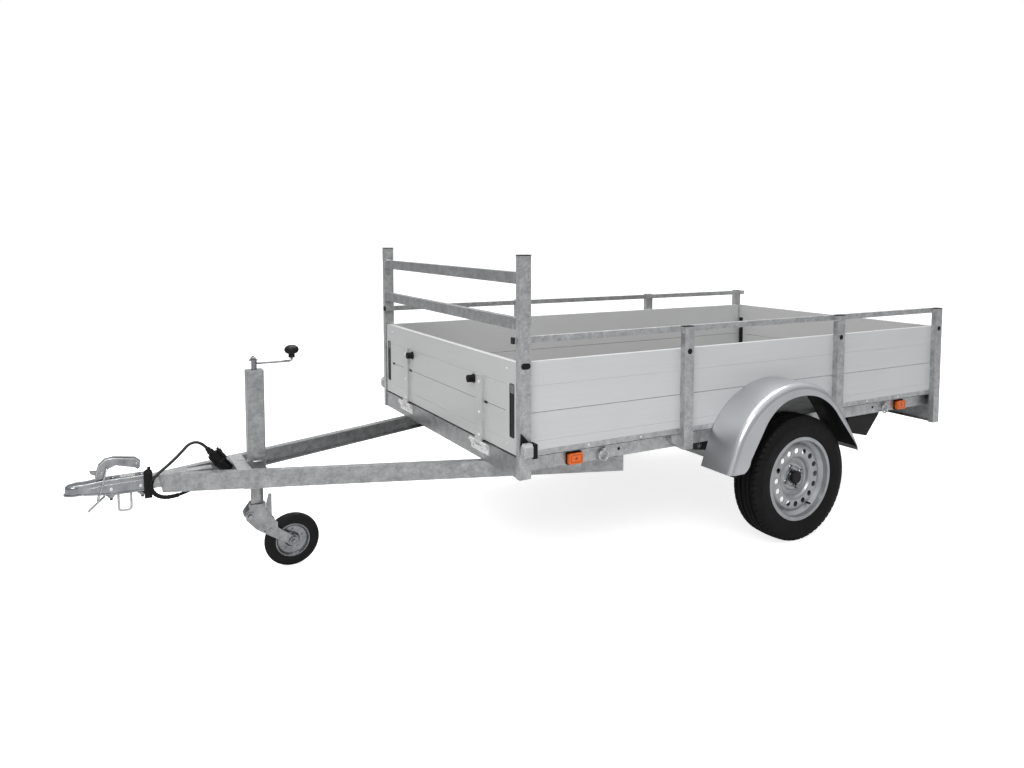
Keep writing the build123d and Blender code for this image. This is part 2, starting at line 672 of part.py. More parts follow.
# ---------------------------------------------------------------- wheels
def tyre(side):
    plane = wheel_plane(side)
    with BuildPart() as piece:
        with BuildSketch(plane):
            with BuildLine():
                ThreePointArc((-62, 290), (0, WHEEL_R), (62, 290))
                ThreePointArc((62, 290), (74, 274), (TYRE_HALF, 242))
                ThreePointArc((TYRE_HALF, 242), (78, 218), (71, RIM_FLANGE_R + 2))
                Polyline((71, RIM_FLANGE_R + 2), (64, RIM_FLANGE_R + 1), (64, BEAD_FOOT), (50, BEAD_FOOT))
                ThreePointArc((50, BEAD_FOOT), (68, 222), (60, 264))
                Polyline((60, 264), (50, 280), (-50, 280), (-60, 264))
                ThreePointArc((-60, 264), (-68, 222), (-50, BEAD_FOOT))
                Polyline((-50, BEAD_FOOT), (-64, BEAD_FOOT), (-64, RIM_FLANGE_R + 1), (-71, RIM_FLANGE_R + 2))
                ThreePointArc((-71, RIM_FLANGE_R + 2), (-78, 218), (-TYRE_HALF, 242))
                ThreePointArc((-TYRE_HALF, 242), (-74, 274), (-62, 290))
            make_face()
        revolve(axis=Axis(plane.origin, plane.x_dir))
    return piece


# Wheel disc section: distance outward from the wheel's centre plane, radius
BARREL = ((68, RIM_FLANGE_R), (68, 181), (46, BEAD_R), (30, 160), (-18, 160), (-34, BEAD_R),
          (-68, 181), (-68, RIM_FLANGE_R))
DISC = ((24, 159), (33, 154), (39, 146), (41, 136), (40, 108), (37, 99), (30, 93), (18, 88), (15, 78),
        (17, 66), (23, 58), (23, 50), (18, 44), (18, 32))
DISC_WALL = 4
VENTS = 16
VENT_R = 13
VENT_PITCH_R = 125
HUB_BORE_R = 29
BOLT_PCD_R = 50


def rim(side):
    """Pressed steel wheel: drop-centre barrel and a dished disc with a ring of vents."""
    plane = wheel_plane(side)
    axis = Axis(plane.origin, plane.x_dir)
    with BuildPart() as piece:
        with BuildSketch(plane):
            with BuildLine():
                Polyline(*BARREL)
            trace(line_width=3.5)
        revolve(axis=axis)
        with BuildSketch(plane):
            with BuildLine():
                Polyline(*DISC)
            trace(line_width=DISC_WALL)
        revolve(axis=axis)
        face = Plane(origin=plane.origin + plane.x_dir * 60, x_dir=(1, 0, 0), z_dir=plane.x_dir)
        with BuildSketch(face):
            with PolarLocations(VENT_PITCH_R, VENTS):
                Circle(VENT_R)
            with PolarLocations(BOLT_PCD_R, 4, start_angle=20):
                Circle(7)
        extrude(amount=-60, mode=Mode.SUBTRACT)
    return piece


def hub(side):
    """Hub that turns on the stub axle, with a flange behind the disc and a domed cap."""
    plane = wheel_plane(side)
    inner = ARM_OUT + 6 - WHEEL_Y
    with BuildPart() as piece:
        with BuildSketch(plane):
            with BuildLine():
                Polyline((inner, STUB_R + 0.3), (inner, 36), (0, 36), (4, 62), (13.8, 62), (13.8, 28),
                         (40, 28), (46, 22), (46, 0), (16, 0), (16, STUB_R + 0.3), close=True)
            make_face()
        revolve(axis=Axis(plane.origin, plane.x_dir))
    return piece


for side in (-1, 1):
    save(tyre(side), f"tyre_{side_name(side)}")
    save(rim(side), f"rim_{side_name(side)}")
    save(hub(side), f"hub_{side_name(side)}")

# ---------------------------------------------------------------- lights
LAMP_FACE = REAR - GATE_INSET + SHEET
with BuildPart() as tail_lamps:
    for side in (-1, 1):
        with Locations((LAMP_FACE + 9, side * 650, 438)):
            Box(18, 220, 80)
    fillet(tail_lamps.edges().filter_by(Axis.X), 10)
save(tail_lamps, "tail_lamps")

# Amber side lamps on the rail's web
MARKER_Z = 511
with BuildPart() as side_markers:
    for side in (-1, 1):
        for x in (FRONT + 278, FRONT + 2328):
            with Locations((x, side * (RAIL_WEB + 12), MARKER_Z)):
                Box(66, 24, 45)
    fillet(side_markers.edges().filter_by(Axis.Y), 7)
save(side_markers, "side_markers")

# Front marker lamps on rubber arms, outside the front posts
with BuildPart() as marker_arms:
    for side in (-1, 1):
        with BuildSketch(Plane.XZ.offset(-side * HALF_WIDTH)):
            with BuildLine():
                Polyline((FRONT + 5, 655), (FRONT + 62, 592), (FRONT + 62, 560), (FRONT + 48, 552),
                         (FRONT + 5, 592), close=True)
            make_face()
        extrude(amount=-side * 8)
        with Locations((FRONT + 44, side * (HALF_WIDTH + 24), 590)):
            Box(22, 40, 56)
save(marker_arms, "marker_arms")

with BuildPart() as front_markers:
    for side in (-1, 1):
        with Locations((FRONT + 15, side * (HALF_WIDTH + 29), 592)):
            Box(36, 42, 58)
    chamfer(front_markers.edges().filter_by(Axis.X), 10)
    chamfer(front_markers.faces().filter_by(Axis.X).sort_by(Axis.X)[:2].edges(), 7)
save(front_markers, "front_markers")

# ---------------------------------------------------------------- lashing rings and chocks
RING_XS = (FRONT + 420, FRONT + 2208)
RING_R, RING_ROD = 22, 4
RING_Z = 508
with BuildPart() as lashing_rings:
    for side in (-1, 1):
        for x in RING_XS:
            with Locations((x, side * (RAIL_WEB + 3), RING_Z + 12)):
                Box(26, 6, 34)
            with Locations((x, side * (RAIL_WEB + 9), RING_Z + 18)):
                Box(16, 12, 14)
            with Locations(Location((x, side * (RAIL_WEB + 12), RING_Z - 6), (90, 0, 0))):
                Torus(RING_R, RING_ROD)
save(lashing_rings, "lashing_rings")

CHOCK_IN, CHOCK_WIDE = 640, 84
with BuildPart() as wheel_chocks:
    for side in (-1, 1):
        with BuildSketch(Plane.XZ.offset(-side * CHOCK_IN)):
            with BuildLine():
                Polyline((1400, RAIL_BOTTOM), (1640, RAIL_BOTTOM), (1640, 470), (1545, 362),
                         (1400, 396), close=True)
            make_face()
        extrude(amount=-side * CHOCK_WIDE)
save(wheel_chocks, "wheel_chocks")

# ---------------------------------------------------------------- jockey wheel jack
with BuildPart() as jack_tube:
    with BuildSketch(Plane.XY.offset(BEAM_BOTTOM - PLATE_THICK)):
        with Locations((JACK_X, 0)):
            RectangleRounded(JACK_TUBE, JACK_TUBE, 5)
            Rectangle(JACK_TUBE - 6, JACK_TUBE - 6, mode=Mode.SUBTRACT)
    extrude(amount=JACK_TOP - BEAM_BOTTOM + PLATE_THICK)
    with BuildSketch(Plane.XY.offset(JACK_TOP)):
        with Locations((JACK_X, 0)):
            RectangleRounded(JACK_TUBE, JACK_TUBE, 5)
    extrude(amount=4)
save(jack_tube, "jack_tube")

CRANK_Z = 880
KNOB_X = -1223
KNOB_Z = CRANK_Z + 14
with BuildPart() as jack_crank:
    with Locations((JACK_X, 0, (JACK_TOP + 4 + 894) / 2)):
        Cylinder(11, 894 - JACK_TOP - 4)
    with BuildLine():
        FilletPolyline((JACK_X, 0, CRANK_Z), (KNOB_X - 8, 0, CRANK_Z), (KNOB_X, 0, CRANK_Z + 6),
                       (KNOB_X, 0, KNOB_Z), radius=4)
    with BuildSketch(Plane(origin=(JACK_X, 0, CRANK_Z), z_dir=(1, 0, 0))):
        Circle(5)
    sweep()
save(jack_crank, "jack_crank")

with BuildPart() as jack_knob:
    with BuildSketch(Plane.XZ):
        with BuildLine():
            Polyline((KNOB_X, KNOB_Z), (KNOB_X + 13, KNOB_Z), (KNOB_X + 13, 910))
            ThreePointArc((KNOB_X + 13, 910), (KNOB_X + 29, 925), (KNOB_X + 20, 942))
            Polyline((KNOB_X + 20, 942), (KNOB_X + 12, 946), (KNOB_X, 947), (KNOB_X, KNOB_Z))
        make_face()
    revolve(axis=Axis((KNOB_X, 0, 0), (0, 0, 1)))
save(jack_knob, "jack_knob")

INNER_BOTTOM = 236
with BuildPart() as jack_inner:
    with Locations((JACK_X, 0, (INNER_BOTTOM + 640) / 2)):
        Cylinder(JACK_INNER_R, 640 - INNER_BOTTOM)
save(jack_inner, "jack_inner")

PIN = (-1330, 178)
BRACKET_IN = 31               # inner face of the two cheek plates
CHEEK = 4
COLLAR_R = BRACKET_IN + 2
with BuildPart() as jockey_bracket:
    for side in (-1, 1):
        with BuildSketch(Plane.XZ.offset(-side * BRACKET_IN)):
            with BuildLine():
                Polyline((-1398, 296), (-1350, 296), (-1343, 262), (-1300, 206), (-1300, 172),
                         (-1326, 150), (-1385, 190), (-1424, 236), (-1424, 262), close=True)
            make_face()
        extrude(amount=-side * CHEEK)
        with BuildSketch(Plane.XZ.offset(-side * (BRACKET_IN - CHEEK))):
            with Locations(PIN):
                Circle(22)
            with Locations((JOCKEY_X, JOCKEY_R)):
                Circle(18)
            make_hull()
        extrude(amount=-side * CHEEK)
        with Locations(Location((PIN[0], side * (BRACKET_IN + 2), PIN[1]), (90, 0, 0))):
            Cylinder(7, 14)
    with BuildSketch(Plane.XY.offset(262)):
        with Locations((JACK_X, 0)):
            Circle(COLLAR_R)
            Circle(JACK_INNER_R + 0.5, mode=Mode.SUBTRACT)
    extrude(amount=30)
    with BuildSketch(Plane.XY.offset(INNER_BOTTOM - 5)):
        with Locations((JACK_X, 0)):
            Circle(COLLAR_R)
    extrude(amount=4.6)
    for x, z, r in ((-1408, 250, 8), (JOCKEY_X, JOCKEY_R, 7)):
        with Locations(Location((x, 0, z), (90, 0, 0))):
            Cylinder(r, 2 * BRACKET_IN + 14)
    with BuildSketch(Plane.XZ.offset(BRACKET_IN - CHEEK)):
        with BuildLine():
            Polyline((-1343, 238), (-1322, 238), (-1322, 332), (-1334, 334), (-1345, 290), close=True)
        make_face()
    extrude(amount=CHEEK)
save(jockey_bracket, "jockey_bracket")


def jockey_plane():
    return wheel_plane(-1, x=JOCKEY_X, z=JOCKEY_R, y=0)


with BuildPart() as jockey_tyre:
    plane = jockey_plane()
    with BuildSketch(plane):
        with BuildLine():
            ThreePointArc((-14, JOCKEY_R - 4), (0, JOCKEY_R), (14, JOCKEY_R - 4))
            ThreePointArc((14, JOCKEY_R - 4), (20, JOCKEY_R - 14), (19, 70))
            Line((19, 70), (-19, 70))
            ThreePointArc((-19, 70), (-20, JOCKEY_R - 14), (-14, JOCKEY_R - 4))
        make_face()
    revolve(axis=Axis(plane.origin, plane.x_dir))
save(jockey_tyre, "jockey_tyre")

with BuildPart() as jockey_rim:
    plane = jockey_plane()
    with BuildSketch(plane):
        with BuildLine():
            Polyline((19, 70), (19, 66), (10, 60), (6, 28), (16, 24), (16, 7.4), (-16, 7.4), (-16, 24),
                     (-6, 28), (-10, 60), (-19, 66), (-19, 70), close=True)
        make_face()
    revolve(axis=Axis(plane.origin, plane.x_dir))
save(jockey_rim, "jockey_rim")

# ---------------------------------------------------------------- plug, holder, strap and cable
PLUG_TOP = Vector(-1559, 0, 548)
PLUG_TILT = radians(52)
PLUG_DIR = Vector(cos(PLUG_TILT), 0, -sin(PLUG_TILT))


def plug_plane(along):
    """Plane across the plug at a distance from its gland."""
    return Plane(origin=PLUG_TOP + PLUG_DIR * along, x_dir=(0, 1, 0), z_dir=PLUG_DIR)


with BuildPart() as plug:
    # radius and length of each step of the plug, from its gland down
    at = 0
    for radius, length in ((10, 12), (13, 18), (21, 42)):
        with BuildSketch(plug_plane(at)):
            Circle(radius)
        extrude(amount=length)
        at += length
PLUG_LONG = at
save(plug, "plug")

HOLDER_R = 24
LID = (26, 74)                # the sprung lid stands over this stretch of the plug
with BuildPart() as plug_holder:
    with BuildSketch(plug_plane(PLUG_LONG)):
        Circle(HOLDER_R)
    extrude(amount=52)
    with BuildSketch(plug_plane(LID[0])):
        with Locations((0, HOLDER_R + 2.5)):
            Rectangle(30, 10)
    extrude(amount=LID[1] - LID[0])
save(plug_holder, "plug_holder")

STRAP_X = -1777
STRAP_Z = 440
with BuildPart() as nose_strap:
    with BuildSketch(Plane.YZ.offset(STRAP_X + 0.2)):
        with Locations((0, STRAP_Z)):
            RectangleRounded(66, 92, 12)
        with Locations((0, (NOSE_BOTTOM + BEAM_TOP) / 2)):
            Rectangle(2 * NOSE_HALF + 0.4, BEAM_TOP - NOSE_BOTTOM + 0.4, mode=Mode.SUBTRACT)
    extrude(amount=12)
    with Locations((STRAP_X + 6.2, 0, 494)):
        Cylinder(6, 20)
save(nose_strap, "nose_strap")

GLAND_X = -640


def channel_point(x, z):
    """Point on the cable's way inside the left drawbar channel."""
    return (x, -(beam_y(x) - 24), z)


CABLE_REST = BEAM_BOTTOM + BEAM_SHEET + CABLE_D / 2 + 0.4
CABLE_ROUTE = [
    channel_point(GLAND_X, CABLE_REST + 4.5),
    channel_point(-760, CABLE_REST + 0.6),
    (-890, -(beam_y(-890) - 22), CABLE_REST),
    channel_point(-1020, CABLE_REST + 0.6),
    (-1150, -(beam_y(-1150) - 22), CABLE_REST),
    channel_point(-1280, CABLE_REST + 0.6),
    (-1400, -(beam_y(-1400) - 22), CABLE_REST),
    (-1490, -(beam_y(-1490) - 26), CABLE_REST + 1.5),
    (-1550, -54, 416),
    (-1598, -30, 408),
    (-1642, -27, 391),
    (-1684, -34, 383),
    (-1722, -42, 385),
    (-1752, -44, 400),
    (-1769, -45, 428),
    (-1766, -45, 457),
    (-1744, -43, 482),
    (-1712, -36, 505),
    (-1681, -25, 528),
    (-1653, -14, 552),
    (-1624, -4, 580),
    tuple(PLUG_TOP - PLUG_DIR * 40),
]
points = [Vector(*p) for p in CABLE_ROUTE] + [PLUG_TOP]


def bend_radii(route):
    """Largest tangent arc for each corner of a route of straight runs."""
    radii = []
    for before, here, after in zip(route, route[1:], route[2:]):
        shorter = min((here - before).length, (after - here).length)
        turn = (here - before).get_angle(after - here)
        radii.append(0.45 * shorter / tan(radians(turn) / 2))
    return radii


radii = bend_radii(points)
print("cable radii", [round(r) for r in radii])
with BuildPart() as cable:
    with BuildLine() as way:
        FilletPolyline(*points, radius=radii)
    with BuildSketch(Plane(origin=points[0], z_dir=points[1] - points[0])):
        Circle(CABLE_D / 2)
    sweep()
length = sum(edge.length for edge in way.edges())
print("cable length", round(length), "volume ratio",
      round(cable.part.volume / (length * pi * CABLE_D ** 2 / 4), 4))
save(cable, "cable")

with BuildPart() as cable_gland:
    with BuildSketch(Plane(origin=points[0], z_dir=points[0] - points[1])):
        Circle(10)
    extrude(amount=34)
save(cable_gland, "cable_gland")
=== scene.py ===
"""Looks of the utility trailer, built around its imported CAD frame. Metres, +X rear, +Y right, +Z up."""
import json
from math import acos, atan2, cos, pi, radians, sin

import bpy
from mathutils import Matrix, Vector
from mathutils.bvhtree import BVHTree


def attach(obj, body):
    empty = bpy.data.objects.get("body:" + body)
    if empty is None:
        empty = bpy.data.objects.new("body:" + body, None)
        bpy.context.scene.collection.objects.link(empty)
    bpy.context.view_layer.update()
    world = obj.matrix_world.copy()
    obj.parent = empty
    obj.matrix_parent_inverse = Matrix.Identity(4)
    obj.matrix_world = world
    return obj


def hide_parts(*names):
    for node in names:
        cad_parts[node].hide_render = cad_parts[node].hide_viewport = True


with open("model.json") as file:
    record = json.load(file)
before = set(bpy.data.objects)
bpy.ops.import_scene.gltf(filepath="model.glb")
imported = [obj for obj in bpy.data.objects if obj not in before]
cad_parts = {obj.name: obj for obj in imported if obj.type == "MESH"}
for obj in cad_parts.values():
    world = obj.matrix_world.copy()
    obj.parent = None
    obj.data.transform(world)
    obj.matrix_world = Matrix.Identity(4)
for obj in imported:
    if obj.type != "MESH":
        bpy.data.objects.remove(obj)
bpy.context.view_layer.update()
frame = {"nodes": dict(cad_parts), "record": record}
NODES = frame["nodes"]
move = Matrix.Translation

# ------ places shared with the CAD part
SIDES = (-1, 1)  # left and right, the signs of Y
FRONT, REAR = -0.560, 2.040  # the posts' faces at the box's front and rear
HALF_WIDTH = 0.805  # to the posts' outer faces
PLANK_JOINT = 0.722  # height of the joint between lower and upper plank
BEAM_FRONT = Vector((-1.658, 0.058, 0))  # ends of the right drawbar beam's outer web
BEAM_REAR = Vector((-0.005, 0.705, 0))
BEAM_SLOPE = (BEAM_REAR.y - BEAM_FRONT.y) / (BEAM_REAR.x - BEAM_FRONT.x)
WHEEL = Vector((0.838, 0.858, 0.29375))  # middle of the right wheel
JACK_X = -1.374
JOCKEY = Vector((-1.237, 0, 0.11285))  # middle of the jockey wheel
STRAP_Y = 0.446  # middle of a gate's hinge straps
AXIS_X, AXIS_Y = Vector((1, 0, 0)), Vector((0, 1, 0))
DOWN = (0, 0, -1)


def beam_y(x):
    """|y| of a drawbar beam's outer web at x."""
    return BEAM_FRONT.y + (x - BEAM_FRONT.x) * BEAM_SLOPE


# ------ camera, light and floor
PHOTO_WIDE, PHOTO_HIGH = 1024, 768
FOCAL_PX = 807.35  # focal length and optical centre of the view, in its pixels
OPTICAL_CENTRE_PX = (571.03, 291.19)
SENSOR = 36.0
CAMERA_AT = Vector((-1.97187, -3.50159, 1.41870))
CAMERA_YAW, CAMERA_PITCH, CAMERA_ROLL = 0.546183, 0.070928, 0.004031
# (upward part of a ray, grey) of the studio's walls and ceiling, seen in reflections
STUDIO_TONES = ((0.05, 0.26), (0.75, 1.0))
# name, place, point it faces, size and watts of each soft light
LIGHTS = (
    ("key", (-3.5, -4.5, 5.0), (0.2, 0, 0.5), (4.0, 3.0), 250),
    ("top", (0.5, 1.0, 6.0), (0.5, 0, 0.5), (6.0, 5.0), 400),
)
FLOOR_REACH = 40.0
FLOOR_GLOW = 0.80  # what the camera sees of the pale floor besides the light on it


def new_object(name, data):
    """Object with data of its own, put into the scene."""
    made = bpy.data.objects.new(name, data)
    bpy.context.collection.objects.link(made)
    return made


def make_camera():
    data = bpy.data.cameras.new("view")
    data.sensor_width = SENSOR
    data.lens = FOCAL_PX / PHOTO_WIDE * SENSOR
    data.shift_x = 0.5 - OPTICAL_CENTRE_PX[0] / PHOTO_WIDE
    data.shift_y = (OPTICAL_CENTRE_PX[1] - PHOTO_HIGH / 2) / PHOTO_WIDE
    data.clip_end = 200
    camera = new_object("view", data)
    ahead = Vector((sin(CAMERA_YAW) * cos(CAMERA_PITCH), cos(CAMERA_YAW) * cos(CAMERA_PITCH),
                    -sin(CAMERA_PITCH)))
    level = Vector((cos(CAMERA_YAW), -sin(CAMERA_YAW), 0))
    upward = level.cross(ahead)
    right = cos(CAMERA_ROLL) * level + sin(CAMERA_ROLL) * upward
    up = cos(CAMERA_ROLL) * upward - sin(CAMERA_ROLL) * level
    turn = Matrix((right, up, -ahead)).transposed().to_4x4()
    camera.matrix_world = move(CAMERA_AT) @ turn
    bpy.context.scene.camera = camera


def soft_light(name, place, target, size, power):
    data = bpy.data.lights.new(name, "AREA")
    data.shape = "RECTANGLE"
    data.size, data.size_y = size
    data.energy = power
    lamp = new_object(name, data)
    lamp.location = place
    lamp.rotation_euler = (Vector(target) - Vector(place)).to_track_quat("-Z", "Y").to_euler()


def make_world():
    """White behind the object; for light and reflections, brighter overhead than near the horizon."""
    world = bpy.data.worlds.new("studio")
    bpy.context.scene.world = world
    world.use_nodes = True
    tree = world.node_tree
    background = tree.nodes["Background"]
    direction = tree.nodes.new("ShaderNodeTexCoord").outputs["Generated"]
    split = tree.nodes.new("ShaderNodeSeparateXYZ")
    ramp = tree.nodes.new("ShaderNodeValToRGB")
    for element, (height, tone) in zip(ramp.color_ramp.elements, STUDIO_TONES):
        element.position = height
        element.color = (tone, tone, tone * 1.01, 1)
    seen = tree.nodes.new("ShaderNodeLightPath").outputs["Is Camera Ray"]
    choice = tree.nodes.new("ShaderNodeMix")
    choice.data_type = "RGBA"
    choice.inputs[7].default_value = (1.0, 1.0, 1.0, 1)
    for out, into in ((direction, split.inputs["Vector"]), (split.outputs["Z"], ramp.inputs["Fac"]),
                      (seen, choice.inputs["Factor"]), (ramp.outputs["Color"], choice.inputs[6]),
                      (choice.outputs[2], background.inputs["Color"])):
        tree.links.new(out, into)


def make_studio():
    make_world()
    for light in LIGHTS:
        soft_light(*light)
    bpy.context.scene.view_settings.view_transform = "Standard"

    data = bpy.data.meshes.new("floor_sheet")
    corners = [(x * FLOOR_REACH, y * FLOOR_REACH, 0) for x, y in ((-1, -1), (1, -1), (1, 1), (-1, 1))]
    data.from_pydata(corners, [], [(0, 1, 2, 3)])
    floor = new_object("floor_sheet", data)
    return floor


# ------ cord
CABLE_D = 0.012
PLUG_TOP = Vector((-1.559, 0, 0.548))
PLUG_TILT = radians(52)
PLUG_DIR = Vector((cos(PLUG_TILT), 0, -sin(PLUG_TILT)))
CABLE_REST = 0.4134  # height of the cable's centre on the channel's lower flange
# (x, height over CABLE_REST, distance in from the web) on the way inside the left drawbar channel
CHANNEL_ROUTE = (
    (-0.640, 0.0045, 0.024), (-0.760, 0.0006, 0.024), (-0.890, 0, 0.022), (-1.020, 0.0006, 0.024),
    (-1.150, 0, 0.022), (-1.280, 0.0006, 0.024), (-1.400, 0, 0.022), (-1.490, 0.0015, 0.026),
)
CABLE_ROUTE = [(x, inset - beam_y(x), CABLE_REST + rise) for x, rise, inset in CHANNEL_ROUTE] + [
    (-1.550, -0.054, 0.416), (-1.598, -0.030, 0.408), (-1.642, -0.027, 0.391), (-1.684, -0.034, 0.383),
    (-1.722, -0.042, 0.385), (-1.752, -0.044, 0.400), (-1.769, -0.045, 0.428), (-1.766, -0.045, 0.457),
    (-1.744, -0.043, 0.482), (-1.712, -0.036, 0.505), (-1.681, -0.025, 0.528), (-1.653, -0.014, 0.552),
    (-1.624, -0.004, 0.580),
    tuple(PLUG_TOP - PLUG_DIR * 0.040),
    tuple(PLUG_TOP),
]


def make_cable():
    data = bpy.data.curves.new("cable_line", "CURVE")
    data.dimensions = "3D"
    data.bevel_depth = 1.0  # times the points' radius, so the curve's box is the cord's own
    data.bevel_resolution = 4
    data.resolution_u = 8
    data.use_fill_caps = True
    spline = data.splines.new("NURBS")
    spline.points.add(len(CABLE_ROUTE) - 1)
    for point, place in zip(spline.points, CABLE_ROUTE):
        point.co = (*place, 1)
        point.radius = CABLE_D / 2
    spline.order_u = 3
    spline.use_endpoint_u = True
    cord = new_object("cable_line", data)
    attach(cord, "chassis")
    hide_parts("cable")
    return cord


make_camera()
floor_sheet = make_studio()
cable_line = make_cable()


# ------ materials
class Recipe:
    """A node material: a principled shader and short ways to feed it."""

    def __init__(self, name, colour, rough, metal=0.0):
        self.material = bpy.data.materials.new(name)
        self.material.use_nodes = True
        self.tree = self.material.node_tree
        self.shader = self.tree.nodes["Principled BSDF"]
        self.set("Base Color", (*colour, 1))
        self.set("Roughness", rough)
        self.set("Metallic", metal)
        self.place = self.tree.nodes.new("ShaderNodeTexCoord").outputs["Object"]

    def set(self, socket, value):
        self.shader.inputs[socket].default_value = value

    def node(self, kind, inputs=None, **settings):
        """New node with its settings and the values of its inputs."""
        made = self.tree.nodes.new(kind)
        for key, value in settings.items():
            setattr(made, key, value)
        for key, value in (inputs or {}).items():
            made.inputs[key].default_value = value
        return made

    def link(self, out, into):
        self.tree.links.new(out, into)

    def noise(self, scale, detail, rough, stretch=None, distortion=0.0):
        """Noise over the object's coordinates, which a stretch multiplies along each axis."""
        made = self.node("ShaderNodeTexNoise", {"Scale": scale, "Detail": detail, "Roughness": rough,
                                                "Distortion": distortion})
        place = self.place
        if stretch:
            mapping = self.node("ShaderNodeMapping", {"Scale": stretch})
            self.link(place, mapping.inputs["Vector"])
            place = mapping.outputs["Vector"]
        self.link(place, made.inputs["Vector"])
        return made.outputs["Fac"]

    def cells(self, scale, feature="F1", output="Color"):
        made = self.node("ShaderNodeTexVoronoi", {"Scale": scale}, feature=feature)
        self.link(self.place, made.inputs["Vector"])
        return made.outputs[output]

    def ramp(self, fac, *stops):
        """Colour ramp through (position, colour or grey) stops."""
        made = self.node("ShaderNodeValToRGB")
        elements = made.color_ramp.elements
        while len(elements) < len(stops):
            elements.new(0.5)
        for element, (at, tone) in zip(elements, stops):
            element.position = at
            element.color = (*tone, 1) if isinstance(tone, tuple) else (tone, tone, tone, 1)
        self.link(fac, made.inputs["Fac"])
        return made.outputs["Color"]

    def mix(self, fac, a, b, blend="MIX"):
        """Colour mix. fac is a number or an output, a and b are colours or outputs."""
        made = self.node("ShaderNodeMix", data_type="RGBA", blend_type=blend)
        for key, value in (("Factor", fac), (6, a), (7, b)):
            socket = made.inputs[key]
            if isinstance(value, float):
                socket.default_value = value
            elif isinstance(value, tuple):
                socket.default_value = (*value, 1)
            else:
                self.link(value, socket)
        return made.outputs[2]

    def colour(self, out):
        self.link(out, self.shader.inputs["Base Color"])

    def rough(self, out):
        self.link(out, self.shader.inputs["Roughness"])

    def mottle(self, noise, *stops):
        """Base colour through stops, led by noise of a (scale, detail, roughness)."""
        self.colour(self.ramp(self.noise(*noise), *stops))

    def wear(self, noise, *stops):
        """Roughness through stops, led by noise of a (scale, detail, roughness)."""
        self.rough(self.ramp(self.noise(*noise), *stops))

    def bump(self, height, distance, strength):
        made = self.node("ShaderNodeBump", {"Strength": strength, "Distance": distance})
        self.link(height, made.inputs["Height"])
        self.link(made.outputs["Normal"], self.shader.inputs["Normal"])

    def coat(self, weight, rough):
        self.set("Coat Weight", weight)
        self.set("Coat Roughness", rough)


def galvanised(name, shade):
    """Hot-dip zinc: fine spangle, light smears and a slightly rippled surface. Shade 1 is the brightest."""
    recipe = Recipe(name, (0.36, 0.37, 0.38), 0.40, 0.8)
    spangle = recipe.cells(120)
    tones = [(at, tuple((tint + cast) * shade for cast in (0, 0.008, 0.013)))
             for at, tint in ((0.34, 0.33), (0.50, 0.44), (0.68, 0.55))]
    tone = recipe.ramp(recipe.noise(26, 7, 0.72), *tones)
    flake = recipe.ramp(spangle, (0.0, 0.80), (0.5, 0.98), (1.0, 1.18))
    grain = recipe.ramp(recipe.noise(240, 4, 0.7), (0.3, 0.86), (0.7, 1.14))
    base = recipe.mix(0.8, recipe.mix(0.7, tone, flake, "MULTIPLY"), grain, "MULTIPLY")
    smears = recipe.ramp(recipe.noise(7, 6, 0.75, distortion=1.2), (0.60, 0.0), (0.72, 0.75))
    recipe.colour(recipe.mix(smears, base, (0.65, 0.66, 0.665)))
    recipe.rough(recipe.ramp(spangle, (0.0, 0.30), (1.0, 0.50)))
    recipe.bump(recipe.noise(70, 4, 0.6), 0.0006, 0.4)
    return recipe.material


def cast_metal(name, low, high, rough):
    """Bright, slightly pitted casting or satin bar."""
    recipe = Recipe(name, high, rough, 0.55)
    recipe.mottle((60, 5, 0.6), (0.35, low), (0.6, high))
    recipe.bump(recipe.noise(180, 4, 0.6), 0.0004, 0.4)
    return recipe.material


def zinc():
    """Bright zinc plating with faint handling marks."""
    recipe = Recipe("zinc", (0.33, 0.34, 0.355), 0.26, 1.0)
    recipe.mottle((22, 4, 0.6), (0.3, (0.20, 0.21, 0.22)), (0.7, (0.36, 0.365, 0.375)))
    recipe.wear((40, 5, 0.7), (0.3, 0.18), (0.75, 0.36))
    recipe.bump(recipe.noise(150, 3, 0.5), 0.0003, 0.25)
    return recipe.material


def board_metal(name, stretch, tone):
    """Satin anodised planks with fine rolling lines along their length."""
    recipe = Recipe(name, tone, 0.42, 0.2)
    low, high = (tuple(c * factor for c in tone) for factor in (0.93, 1.05))
    lines = recipe.noise(1, 4, 0.6, stretch=stretch)
    streaks = recipe.ramp(lines, (0.35, low), (0.65, high))
    clouds = recipe.ramp(recipe.noise(2.2, 3, 0.5), (0.3, low), (0.7, high))
    recipe.colour(recipe.mix(0.35, streaks, clouds))
    recipe.rough(recipe.ramp(lines, (0.3, 0.35), (0.7, 0.46)))
    recipe.bump(lines, 0.0002, 0.3)
    return recipe.material


def plastic(name, colour, rough=0.42, grain=900, gloss=0.35):
    """Moulded plastic with a fine eroded grain."""
    recipe = Recipe(name, colour, rough)
    dark = tuple(c * 0.8 for c in colour)
    light = tuple(c * 1.25 + 0.001 for c in colour)
    recipe.mottle((9, 4, 0.6), (0.3, dark), (0.7, light))
    recipe.wear((14, 3, 0.6), (0.3, rough * 0.85), (0.75, rough * 1.25))
    recipe.bump(recipe.noise(grain, 2, 0.5), 0.0002, 0.35)
    recipe.set("Specular IOR Level", gloss)
    return recipe.material


def rubber(name, colour, rough, gloss):
    """Rubber, dusty in places."""
    recipe = Recipe(name, colour, rough)
    dusty = tuple(c * 1.6 + 0.001 for c in colour)
    recipe.mottle((18, 5, 0.65), (0.35, colour), (0.8, dusty))
    recipe.wear((30, 4, 0.6), (0.3, rough * 0.85), (0.8, rough * 1.15))
    recipe.bump(recipe.noise(700, 3, 0.6), 0.0002, 0.4)
    recipe.set("Specular IOR Level", gloss)
    return recipe.material


